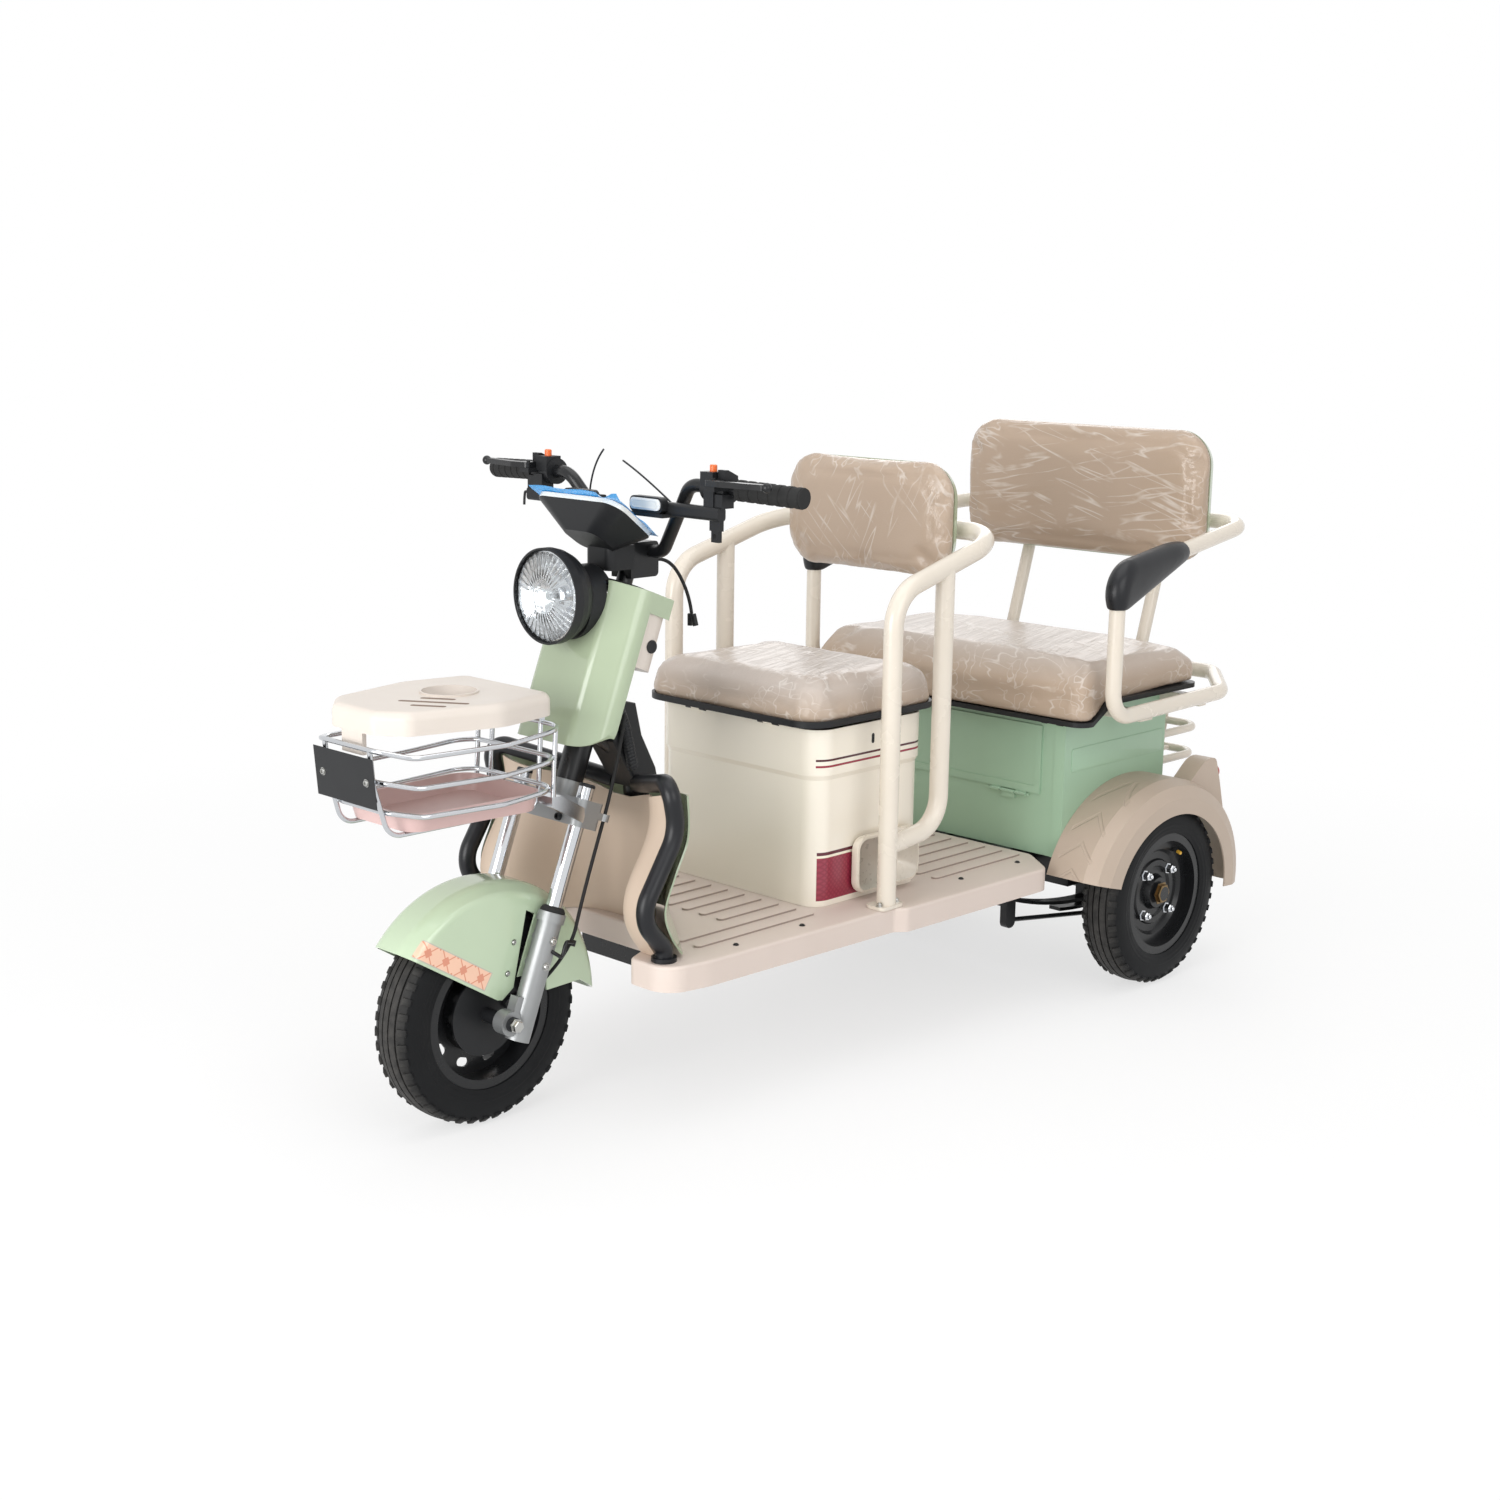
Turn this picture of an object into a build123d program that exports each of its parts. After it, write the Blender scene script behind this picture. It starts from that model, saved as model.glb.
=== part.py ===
from build123d import *
import os
from math import cos, radians, sin

# Electric cargo tricycle. Millimetres. X points forward from the rear axle, Y to the
# rider's left, Z up from the ground; every piece is moved by ORIGIN_X when it is written.

# Wheels and stance
WHEELBASE = 1408
HALF_TRACK = 346
TYRE_RADIUS = 181
TYRE_HALF = 42
BEAD_RADIUS = 110
RIM_LIP = 120.7
RIM_WALL = 4
DRUM_RADIUS = 80
AXLE_RADIUS = 14
FRONT_AXLE_RADIUS = 7

# Clearances
RUN_FIT = 0.05
GAP = 0.5
SHEET = 2
PLASTIC = 3

# Steering axis and fork, measured along and across the raked axis
RAKE = 21
FORK_REACH = 191
STEER_X = WHEELBASE - FORK_REACH
STEER_Z = 509
HEAD_LOW = 26
HEAD_HIGH = 205
HEAD_RADIUS = 23
STEERER_RADIUS = 15
CROWN_LOW = -45
CROWN_HIGH = 0
LEG_AHEAD = 30
LEG_SIDE = 78
STANCHION_RADIUS = 13.5
STANCHION_LOW = -285
SLIDER_RADIUS = 20
SLIDER_TOP = -188
SLIDER_LOW = -400
SLIDER_BORE_LOW = -345
FENDER_RADIUS = 222
FENDER_HALF = 53

# Floor and frame rails
FLOOR_TOP = 273
FLOOR_LOW = 230
FLOOR_PLATE = 4
FLOOR_FRONT = STEER_X + 17
FLOOR_REAR = 228
NICHE_X = STEER_X - 113
NICHE_HALF = 176
RAIL_Y = 150
RAIL_WIDTH = 30
RAIL_HEIGHT = 38
RAIL_FRONT = STEER_X - 147
RAIL_REAR = -128
RIB_WIDTH = 16
RIB_HEIGHT = 4
RIB_PITCH = 42

# Leg shield
GUARD_Y = 225
GUARD_DIA = 30
GUARD_FOOT = 21
SHIELD_TOP = 548

# Cowl, in the raked steering frame
COWL_FRONT = 88
COWL_BACK = 42
COWL_EDGE = 22
COWL_NOSE = 6
COWL_HALF = 104
COWL_LOW = 76
COWL_HIGH = 352
COWL_WALL = 3
LAMP_X = STEER_X + 41
LAMP_Z = 842
LAMP_RADIUS = 78

# Driver's box, seat and frame
BOX_FRONT = 820
BOX_REAR = 525
BOX_HALF = 200
BOX_TOP = 590
BOX_CORNER = 40
SEAT_FRONT = BOX_FRONT + 30
SEAT_REAR = BOX_REAR - 25
SEAT_HALF = BOX_HALF + 14
SEAT_LOW = BOX_TOP + 8
SEAT_HEIGHT = 74
ARM_DIA = 34
ARM_Y = 270
ARM_X = 711
ARM_BACK = ARM_X - 301
BACK_Z = 925
BACK_HALF = 198
BACK_HEIGHT = 212

# Rear box, seat and frame
REAR_FRONT = 207
REAR_BACK = -130
REAR_HALF = HALF_TRACK - 68
REAR_LOW = 269
REAR_FRONT_TOP = 536
REAR_SIDE_TOP = 571
BENCH_FRONT = REAR_FRONT + 39
BENCH_REAR = REAR_BACK - 20
BENCH_HALF = HALF_TRACK - 4
BENCH_TOP = 648
BENCH_STEP = 9
REAR_ARM_DIA = 30
REAR_ARM_Y = HALF_TRACK + 32
REAR_ARM_X = REAR_FRONT - 2
RACK_X = REAR_BACK - 158
RACK_Z = 576
REAR_BACK_Z = 935
REAR_BACK_HALF = 300
REAR_BACK_HEIGHT = 270

# Handlebar and front basket
BAR_DIA = 22
GRIP_DIA = 34
BAR_X = STEER_X - 140
BAR_BEND = (BAR_X, 147, 1022)
BAR_END = (BAR_X - 26, 367, 1014)
BAR_RISE = (BAR_X - 31, 52, 902)
WIRE = 8
BASKET_REAR = STEER_X + 101
BASKET_FRONT = STEER_X + 428
BASKET_RIM = 655
BASKET_FLOOR = 518

# The origin lies under the middle of the length
ORIGIN_X = (BASKET_FRONT + WIRE / 2 + RACK_X - REAR_ARM_DIA / 2) / 2

MIN = Align.MIN
MID = Align.CENTER
STEER = Plane(
    origin=(STEER_X, 0, STEER_Z),
    x_dir=(cos(radians(RAKE)), 0, sin(radians(RAKE))),
    z_dir=(-sin(radians(RAKE)), 0, cos(radians(RAKE))),
)
FRONT_AXLE = (WHEELBASE, 0, TYRE_RADIUS)
AXLE_IN_FORK = STEER.to_local_coords(Vector(*FRONT_AXLE))


def steer_point(ahead, side, along):
    """Point of the raked steering frame in the common frame."""
    return tuple(STEER.from_local_coords(Vector(ahead, side, along)))


def from_head(points):
    """Points whose X is measured from the steering head, moved to their place."""
    return [(STEER_X + x, *rest) for x, *rest in points]


def tube(points, radii, diameter, bore=0, close=False):
    """Round bar along straight runs with tangent bends."""
    if len(points) == 2:
        path = Line(*points)
    else:
        path = FilletPolyline(*points, radius=radii, close=close)
    section = Circle(diameter / 2)
    if bore:
        section -= Circle(bore / 2)
    return sweep(Plane(path @ 0, z_dir=path % 0) * section, path=path)


def rounded(points, radii):
    """Flat face with rounded corners."""
    return make_face(FilletPolyline(*points, radius=radii, close=True))


def side_slab(points, low, high, radii=0):
    """Side-view outline (x, z) stretched from y = low to y = high."""
    face = rounded(points, radii) if radii else Polygon(*points, align=None)
    return extrude(Plane.XZ.offset(-low) * face, amount=high - low, dir=(0, 1, 0))


def both(shape):
    """The shape and its mirror image on the other side."""
    return Part() + [shape, mirror(shape, about=Plane.XZ)]


def block(x, y, z):
    """Box between two limits on each axis."""
    size = Box(x[1] - x[0], y[1] - y[0], z[1] - z[0], align=(MIN, MIN, MIN))
    return Pos(x[0], y[0], z[0]) * size


def rod_y(x, z, radius, low, high):
    """Cylinder along Y."""
    return Pos(x, low, z) * Rot(-90, 0, 0) * Cylinder(radius, high - low, align=(MID, MID, MIN))


def rod_x(y, z, radius, low, high):
    """Cylinder along X."""
    return Pos(low, y, z) * Rot(0, 90, 0) * Cylinder(radius, high - low, align=(MID, MID, MIN))


def rod_steer(ahead, side, radius, low, high):
    """Cylinder along the raked steering axis."""
    bar = Cylinder(radius, high - low, align=(MID, MID, MIN))
    return STEER.location * Pos(ahead, side, low) * bar


def bar_rod(radius, start, end):
    """Cylinder on the straight outer run of the left handlebar, start to end from its bend."""
    bend = Vector(*BAR_BEND)
    run = Plane(origin=bend, z_dir=Vector(*BAR_END) - bend)
    return run.location * Pos(0, 0, start) * Cylinder(radius, end - start, align=(MID, MID, MIN))


# Wheels


def tyre():
    """Ribbed tyre about its own centre, axle along Y."""
    crown = TYRE_RADIUS
    shoulder = TYRE_RADIUS - 10
    lip = RIM_LIP + GAP
    half = TYRE_HALF - 6
    outer = Polyline((lip, -half - 2), (lip, -33), (BEAD_RADIUS, -33), (BEAD_RADIUS, 33), (lip, 33))
    outer += Line((lip, 33), (lip, half + 2))
    outer += ThreePointArc((lip, half + 2), (145, TYRE_HALF), (shoulder, half))
    outer += ThreePointArc((shoulder, half), (crown, 0), (shoulder, -half))
    outer += ThreePointArc((shoulder, -half), (145, -TYRE_HALF), (lip, -half - 2))
    section = make_face(outer)
    wall = 8
    hollow = Polyline((shoulder - wall, -half + wall), (BEAD_RADIUS - 1, -25), (BEAD_RADIUS - 1, 25))
    hollow += Line((BEAD_RADIUS - 1, 25), (shoulder - wall, half - wall))
    hollow += Line((shoulder - wall, half - wall), (shoulder - wall, -half + wall))
    section -= make_face(hollow)
    for side in (-21, -7, 7, 21):
        section -= Pos(crown, side) * Rectangle(12, 3)
    return revolve(section, axis=Axis.Y)


def rim_profile():
    """Rim barrel with its two lips."""
    section = Pos(BEAD_RADIUS - RIM_WALL - GAP, -36) * Rectangle(RIM_WALL, 72, align=(MIN, MIN))
    lip = RIM_LIP - BEAD_RADIUS + RIM_WALL + GAP
    for side in (-36, 33 + GAP):
        section += Pos(BEAD_RADIUS - RIM_WALL - GAP, side) * Rectangle(lip, 2.5, align=(MIN, MIN))
    return section


def rear_rim():
    """Pressed rear wheel with stepped dish, brake drum and hub; outer side towards +Y."""
    section = rim_profile()
    dish = [
        (AXLE_RADIUS + RUN_FIT, -20),
        (30, -20),
        (34, 2),
        (DRUM_RADIUS - 8, 2),
        (DRUM_RADIUS - 8, -34),
        (DRUM_RADIUS - 2, -34),
        (DRUM_RADIUS - 2, 4),
        (88, 12),
        (BEAD_RADIUS - RIM_WALL, 12),
        (BEAD_RADIUS - RIM_WALL, 16),
        (86, 16),
        (80, 9),
        (66, 9),
        (63, 13),
        (52, 13),
        (49, 9),
        (36, 9),
        (30, 22),
        (AXLE_RADIUS + RUN_FIT, 22),
    ]
    section += Polygon(*dish, align=None)
    wheel = revolve(section, axis=Axis.Y)
    for angle in range(45, 360, 90):
        hole = Rot(-90, 0, 0) * Cylinder(6, 60)
        wheel -= Rot(0, angle, 0) * Pos(57, 0, 0) * hole
    return wheel


def front_rim():
    """Front wheel: web with oval windows, hub, and a brake drum open to the left."""
    section = rim_profile()
    web = [
        (FRONT_AXLE_RADIUS + RUN_FIT, -30),
        (24, -30),
        (28, -8),
        (BEAD_RADIUS - RIM_WALL, -8),
        (BEAD_RADIUS - RIM_WALL, -4),
        (66, -4),
        (66, 20),
        (60, 20),
        (60, -4),
        (24, -4),
        (20, 4),
        (FRONT_AXLE_RADIUS + RUN_FIT, 4),
    ]
    section += Polygon(*web, align=None)
    wheel = revolve(section, axis=Axis.Y)
    window = Rot(-90, 0, 0) * extrude(SlotOverall(24, 15), 20, both=True)
    for count in range(10):
        wheel -= Rot(0, 36 * count, 0) * Pos(86, -6, 0) * Rot(0, 90, 0) * window
    return wheel


def rear_axle():
    """Axle housing, final drive, brake plates, stub shafts and leaf springs."""
    inner = HALF_TRACK - 43
    housing = rod_y(0, TYRE_RADIUS, 26, -inner + 1, inner - 1)
    drive = rod_y(0, TYRE_RADIUS, 66, -58, 48)
    drive += rod_y(0, TYRE_RADIUS, 48, -84, 74)
    plate = rod_y(0, TYRE_RADIUS, DRUM_RADIUS + 2, inner, inner + 6)
    plate += rod_y(0, TYRE_RADIUS, 34, inner - 5, inner + 1)
    plate += block((-14, 14), (inner - 7, inner), (TYRE_RADIUS - 74, TYRE_RADIUS - 40))
    shaft = rod_y(0, TYRE_RADIUS, AXLE_RADIUS, inner - 3, HALF_TRACK + 36)
    keep = rod_y(0, TYRE_RADIUS, 20, HALF_TRACK + 22 + GAP, HALF_TRACK + 27)
    return housing + drive + both(plate + shaft + keep + leaf_spring()) + brake_linkage()


def drive_motor():
    """Motor beside the final drive, with end bell and ribs."""
    motor_x = 127
    body = rod_y(motor_x, TYRE_RADIUS + 4, 56, -74, 58)
    for low in (-60, -36, -12, 12, 36):
        body += rod_y(motor_x, TYRE_RADIUS + 4, 59, low, low + 8)
    bell = rod_y(motor_x, TYRE_RADIUS + 4, 44, 58, 76)
    bridge = block((60, 80), (-40, 40), (TYRE_RADIUS - 24, TYRE_RADIUS + 32))
    bridge -= rod_y(0, TYRE_RADIUS, 66 + GAP, -60, 60)
    return body + bell + bridge


# Frame and floor


NECK_RUN = from_head([(-49, 0, 630), (-155, 0, 548), (-181, 0, FLOOR_TOP - FLOOR_PLATE - RAIL_HEIGHT)])
NECK_DIA = 44
NECK_HALF = 36
GUSSET = from_head([(-53, 600), (-71, 646), (-127, 600), (-153, 520), (-131, 520), (-97, 572)])
GUSSET_HALF = 12


def floor_outline():
    """Plan of the floor board with the wheel niche in front."""
    left = [
        (NICHE_X, 120),
        (FLOOR_FRONT, NICHE_HALF),
        (FLOOR_FRONT, 262),
        (FLOOR_FRONT - 84, 276),
        (ARM_X - 3, ARM_Y + 16),
        (ARM_X - 23, REAR_HALF + 24),
        (FLOOR_REAR + 62, REAR_HALF + 30),
        (FLOOR_REAR, 225),
    ]
    right = [(x, -y) for x, y in reversed(left)]
    corner = [48, 16, 46, 120, 14, 14, 36, 30]
    return rounded(left + right, corner + corner[::-1])


def floor_board():
    """Moulded floor: plate, skirt and long foot ribs."""
    plan = floor_outline()
    board = extrude(Pos(0, 0, FLOOR_LOW) * plan, FLOOR_TOP - FLOOR_LOW)
    board = fillet(board.faces().sort_by(Axis.Z)[-1].outer_wire().edges(), 5)
    inner = offset(plan, amount=-FLOOR_PLATE, kind=Kind.INTERSECTION)
    board -= extrude(Pos(0, 0, FLOOR_LOW) * inner, FLOOR_TOP - FLOOR_LOW - FLOOR_PLATE)
    for side in range(-5, 6):
        front_end = STEER_X - 97 if abs(side) > 3 else STEER_X - 233
        for low, high in ((FLOOR_REAR + 24, BOX_REAR - 16), (SEAT_FRONT - 14, front_end)):
            if high - low > RIB_WIDTH:
                rib = extrude(SlotOverall(high - low, RIB_WIDTH), RIB_HEIGHT)
                board += Pos((low + high) / 2, side * RIB_PITCH, FLOOR_TOP) * rib
    half = RAIL_WIDTH / 2 + GAP
    rail_top = FLOOR_TOP - FLOOR_PLATE
    notch = block((FLOOR_REAR - 20, FLOOR_REAR + 40), (RAIL_Y - half, RAIL_Y + half), (200, rail_top))
    return board - both(notch) - tube(NECK_RUN, [60], NECK_DIA + 2 * GAP)


def main_frame():
    """Head tube, neck, twin rails, cross members and axle saddles."""
    rail_top = FLOOR_TOP - FLOOR_PLATE
    rail_low = rail_top - RAIL_HEIGHT
    frame = rod_steer(0, 0, HEAD_RADIUS, HEAD_LOW, HEAD_HIGH)
    frame += tube(NECK_RUN, [60], NECK_DIA)
    frame += side_slab(GUSSET, -GUSSET_HALF, GUSSET_HALF)
    half = RAIL_WIDTH / 2
    rails = block((RAIL_REAR, RAIL_FRONT), (RAIL_Y - half, RAIL_Y + half), (rail_low, rail_top))
    saddle = block((-36, 36), (RAIL_Y - half, RAIL_Y + half), (TYRE_RADIUS, rail_low))
    frame += both(rails + saddle - rod_y(0, TYRE_RADIUS, 26, 0, 300))
    for low, width in ((RAIL_FRONT - 62, 62), (RAIL_FRONT - 190, 30), (300, 30), (RAIL_REAR, 30)):
        frame += block((low, low + width), (-RAIL_Y, RAIL_Y), (rail_low, rail_top))
    reach = ARM_Y + 9
    frame += block((ARM_X - 20, ARM_X + 20), (-reach, reach), (rail_low, rail_top))
    frame += both(block((96, 156), (RAIL_Y, REAR_HALF - 16), (rail_low - 30, rail_top)))
    frame += block((RAIL_FRONT - 20, RAIL_FRONT + 26), (-96, 96), (196, rail_low))
    inside = COWL_FRONT - COWL_WALL - COWL_NOSE - GAP / 2
    frame += STEER.location * block((HEAD_RADIUS - 2, inside), (-30, 30), (150, 158))
    frame -= rod_steer(0, 0, STEERER_RADIUS + RUN_FIT, HEAD_LOW - 60, HEAD_HIGH + 60)
    return frame


LEAF_REACH = 300
LEAF_LOW = 146
LEAF_THICK = 7
LEAF_Y = (200, 226)


def leaf(front, rear, level):
    """One leaf of the rear spring, curved up to its ends."""
    stations = [rear + (front - rear) * step / 6 for step in range(7)]
    drop = level * LEAF_THICK + LEAF_THICK / 2
    low = [(x, LEAF_LOW + 52 * (x / LEAF_REACH) ** 2 - drop) for x in stations]
    high = [(x, z + LEAF_THICK) for x, z in low]
    ring = Spline(*low) + Line(low[-1], high[-1]) + Spline(*high[::-1]) + Line(high[0], low[0])
    return Pos(0, LEAF_Y[1], 0) * extrude(Plane.XZ * make_face(ring), LEAF_Y[1] - LEAF_Y[0])


def leaf_spring():
    """Rear leaf spring with its seat under the axle, front hanger and rear shackle."""
    under = FLOOR_TOP - FLOOR_PLATE
    spring = leaf(LEAF_REACH, -118, 0) + leaf(214, -86, 1) + leaf(128, -54, 2)
    spring += block((-30, 30), LEAF_Y, (LEAF_LOW, TYRE_RADIUS - 12))
    spring += block((-34, -22), (LEAF_Y[0] - 5, LEAF_Y[1] + 5), (LEAF_LOW - 22, TYRE_RADIUS))
    spring += block((22, 34), (LEAF_Y[0] - 5, LEAF_Y[1] + 5), (LEAF_LOW - 22, TYRE_RADIUS))
    hanger = block((LEAF_REACH - 14, LEAF_REACH + 18), LEAF_Y, (186, under))
    shackle = block((-124, -104), LEAF_Y, (LEAF_LOW, 258))
    return spring + hanger + shackle


def brake_linkage():
    """Brake rod under the floor running back to the left brake plate, with its rocker."""
    rod_side = 236
    rod = tube([(312, rod_side, 160), (50, rod_side, 122)], [], 9)
    rocker = block((298, 326), (229, 244), (146, FLOOR_TOP - FLOOR_PLATE))
    rocker = fillet(rocker.edges().filter_by(Axis.Y).sort_by(Axis.Z)[:2], 12)
    lever = block((0, 60), (HALF_TRACK - 50, HALF_TRACK - 43), (112, 134))
    return rod + rocker + lever + rod_y(50, 122, 6, rod_side - 8, HALF_TRACK - 46)


# Leg shield and neck

SHIELD_EDGE = from_head([(-21, FLOOR_TOP), (5, 312), (13, 356), (-11, 412), (-41, 470), (-37, SHIELD_TOP)])
GUARD_TOP = (STEER_X - 23, GUARD_Y, 564)
GUARD_INNER = (STEER_X - 135, 32, 512)


def above_guard():
    """Space over the inward runs of the guard bars, cut from the shield panels."""
    drop = GUARD_DIA / 2 + 4
    low = GUARD_INNER[2] - drop - 4
    high = GUARD_TOP[2] - drop
    outline = [(-20, low), (20, low), (GUARD_Y, high), (320, high), (320, 700), (-320, 700)]
    outline += [(-320, high), (-GUARD_Y, high)]
    return extrude(Plane.YZ.offset(STEER_X - 317) * Polygon(*outline, align=None), 500, dir=(1, 0, 0))


def guard_tubes():
    """Two bent guard bars that edge the leg shield."""
    foot_x = STEER_X - 13
    path = [
        (foot_x, GUARD_Y, FLOOR_TOP + GAP),
        (foot_x, GUARD_Y, 294),
        (foot_x + 54, GUARD_Y, 354),
        (foot_x - 28, GUARD_Y, 482),
        GUARD_TOP,
        GUARD_INNER,
    ]
    bar = tube(path, [22, 50, 74, 26], GUARD_DIA)
    foot = Pos(foot_x, GUARD_Y, FLOOR_TOP + GAP) * Cylinder(GUARD_FOOT, 7, align=(MID, MID, MIN))
    return both(bar + foot)


def trough(z, edge_x, centre_x, edge_y, wall):
    """Plan section of a shield panel, hollowed towards the middle."""
    shoulder = edge_x - 14
    mouth = edge_y * 0.72
    flank = edge_y * 0.50
    front = [
        (edge_x, -edge_y, z),
        (shoulder, -mouth, z),
        (centre_x + 26, -flank, z),
        (centre_x, 0, z),
        (centre_x + 26, flank, z),
        (shoulder, mouth, z),
        (edge_x, edge_y, z),
    ]
    back = [(x - wall, y, z) for x, y, z in front]
    ring = Spline(*front) + Line(front[-1], back[-1]) + Spline(*back[::-1]) + Line(back[0], front[0])
    return make_face(ring)


def leg_shield_front():
    """Tan panel between the guard bars, hollowed behind the wheel."""
    edge_y = GUARD_Y - GUARD_FOOT - 1
    middle = [STEER_X - depth for depth in range(135, 124, -2)]
    faces = [
        trough(z + GAP, x + 4, centre, edge_y, PLASTIC)
        for (x, z), centre in zip(SHIELD_EDGE, middle)
    ]
    return loft(faces) - above_guard()


def leg_shield_back():
    """Panel on the rider's side, wider than the guard bars."""
    middle = [STEER_X - depth for depth in (214, 216, 218, 219, 217, 209)]
    faces = [
        trough(z + GAP, x - 29, centre, GUARD_Y + 8, PLASTIC)
        for (x, z), centre in zip(SHIELD_EDGE, middle)
    ]
    return loft(faces) - above_guard()


def neck_cover():
    """Black cover over the neck between shield and cowl."""
    outline = [
        (-91, 662),
        (-127, 652),
        (-141, 596),
        (-173, 536),
        (-181, 504),
        (-133, 504),
        (-103, 552),
        (-77, 592),
    ]
    cover = side_slab(from_head(outline), -NECK_HALF, NECK_HALF)
    cover = fillet(cover.edges().filter_by(Axis.Y, reverse=True), 5)
    cover -= tube(NECK_RUN, [60], NECK_DIA + 2 * GAP)
    cover -= side_slab(GUSSET, -GUSSET_HALF - GAP, GUSSET_HALF + GAP)
    cover -= rod_steer(0, 0, HEAD_RADIUS + 1, 0, HEAD_HIGH + 40)
    return cover - both(tube([GUARD_TOP, GUARD_INNER], [], GUARD_DIA + 2 * GAP))


# Cowl, headlight


def cowl_section(inset):
    """Plan of the cowl across the steering axis."""
    half = COWL_HALF - inset
    front = COWL_FRONT - inset
    nose = front - COWL_NOSE
    outline = [(-24, -half), (COWL_BACK, -half), (nose, -62), (nose, 62), (COWL_BACK, half), (-24, half)]
    return rounded(outline, [2, 36, 22, 22, 36, 2])


def front_cowl():
    """Glossy front cover with rolled sides and a cap over the column."""
    outer = extrude(cowl_section(0), COWL_HIGH - COWL_LOW)
    outer = fillet(outer.faces().sort_by(Axis.Z)[-1].outer_wire().edges(), 1.5)
    inner = extrude(cowl_section(COWL_WALL), COWL_HIGH - COWL_LOW - COWL_WALL)
    shell = outer - inner
    open_back = Box(80, 300, COWL_HIGH - COWL_LOW - 34, align=(MIN, MID, MIN))
    shell -= Pos(COWL_EDGE - 80, 0, 0) * open_back
    corner = Rectangle(90, 90, align=(MIN, MIN))
    for side in (1, -1):
        trim = Plane.YZ * (Pos(COWL_HALF - 46, -44) * corner - Pos(COWL_HALF - 46, 46) * Circle(46))
        trim = extrude(trim, 200, both=True) & Pos(0, COWL_HALF, 23) * Box(300, 92, 46)
        shell -= trim if side > 0 else mirror(trim, about=Plane.XZ)
    shell = STEER.location * Pos(0, 0, COWL_LOW) * shell
    shell -= rod_steer(4, 0, 46, HEAD_HIGH + 20, COWL_HIGH + 20)
    shell -= rod_x(0, LAMP_Z, LAMP_RADIUS - 20, LAMP_X - 158, LAMP_X + 42)
    return shell


def cowl_back():
    """Cream cover that closes the cowl behind the column, with an access slot."""
    half = COWL_HALF - COWL_WALL - GAP
    low = 228
    high = COWL_HIGH - COWL_WALL - GAP
    back = -(HEAD_RADIUS + PLASTIC + 6)
    body = block((back, COWL_EDGE + 5), (-half, half), (low, high))
    body = fillet(body.edges().filter_by(Axis.Z).sort_by(Axis.X)[:2], 34)
    inner = block((back + PLASTIC, COWL_BACK), (-half + PLASTIC, half - PLASTIC), (low + PLASTIC, high + 10))
    body -= fillet(inner.edges().filter_by(Axis.Z).sort_by(Axis.X)[:2], 34 - PLASTIC)
    body -= block((back - 10, back + 10), (-58, 58), (high - 84, high - 22))
    body -= Pos(0, 0, low - 10) * Cylinder(HEAD_RADIUS + 4, 40, align=(MID, MID, MIN))
    body -= block((0, 80), (-HEAD_RADIUS - 4, HEAD_RADIUS + 4), (low - 10, low + 10))
    return STEER.location * body


def stem_boot():
    """Rubber ring around the column on top of the cowl."""
    ring = Cylinder(54, 8, align=(MID, MID, MIN))
    ring = fillet(ring.edges().sort_by(Axis.Z)[-1], 4)
    collar = Cylinder(45.5, COWL_WALL, align=(MID, MID, MIN))
    ring += Pos(0, 0, -COWL_WALL) * collar
    ring -= Pos(0, 0, -10) * Cylinder(30, 40, align=(MID, MID, MIN))
    return STEER.location * Pos(4, 0, COWL_HIGH) * ring


def headlight_shell():
    """Black lamp body: round bowl with a short neck that follows the cowl."""
    edge = LAMP_RADIUS
    outline = [(0, 0), (edge, 0), (edge, -16), (edge - 3, -28), (edge - 9, -40), (edge - 19, -52)]
    outline += [(edge - 33, -63), (edge - 52, -71), (0, -74)]
    bowl = revolve(Polygon(*outline, align=None), axis=Axis.Y)
    hollow = [(0, -44), (28, -44), (edge - 3, -13.5), (edge - 3, 10), (0, 10)]
    bowl -= revolve(Polygon(*hollow, align=None), axis=Axis.Y)
    bowl = Pos(LAMP_X, 0, LAMP_Z) * Rot(0, 0, -90) * bowl
    bowl += rod_x(0, LAMP_Z - 14, LAMP_RADIUS - 18, LAMP_X - 98, LAMP_X - 46)
    keep_off = extrude(cowl_section(-GAP), COWL_HIGH - COWL_LOW + GAP)
    bowl -= STEER.location * Pos(0, 0, COWL_LOW) * keep_off
    bowl -= STEER.location * Pos(4, 0, COWL_HIGH - 6) * Cylinder(55, 120, align=(MID, MID, MIN))
    return bowl.solids().sort_by(SortBy.VOLUME)[-1]


def headlight_reflector():
    """Stepped bright bowl inside the lamp."""
    edge = LAMP_RADIUS - 3 - GAP
    steps = [
        (0, -43),
        (26, -43),
        (edge, -13),
        (edge, -9),
        (edge - 6, -9),
        (52, -20),
        (48, -20),
        (26, -36),
        (14, -36),
        (12, -24),
        (0, -22),
    ]
    bowl = revolve(Polygon(*steps, align=None), axis=Axis.Y)
    return Pos(LAMP_X, 0, LAMP_Z) * Rot(0, 0, -90) * bowl


def headlight_lens():
    """Clear domed lens."""
    edge = LAMP_RADIUS - 3 - GAP
    dome = 240
    shell = Sphere(dome) - Sphere(dome - PLASTIC)
    lens = shell & Cylinder(edge, 2 * dome + 10)
    lens = Part() + lens.solids().sort_by(Axis.Z)[-1]
    return Pos(LAMP_X + 8 - dome, 0, LAMP_Z) * Rot(0, 90, 0) * lens


# Driver's seat group


KNUCKLE = 4
PIN = 2
SEAT_AXIS = (BOX_FRONT + 8, SEAT_LOW - KNUCKLE - GAP)
SEAT_HINGES = (-90, 90)


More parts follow.
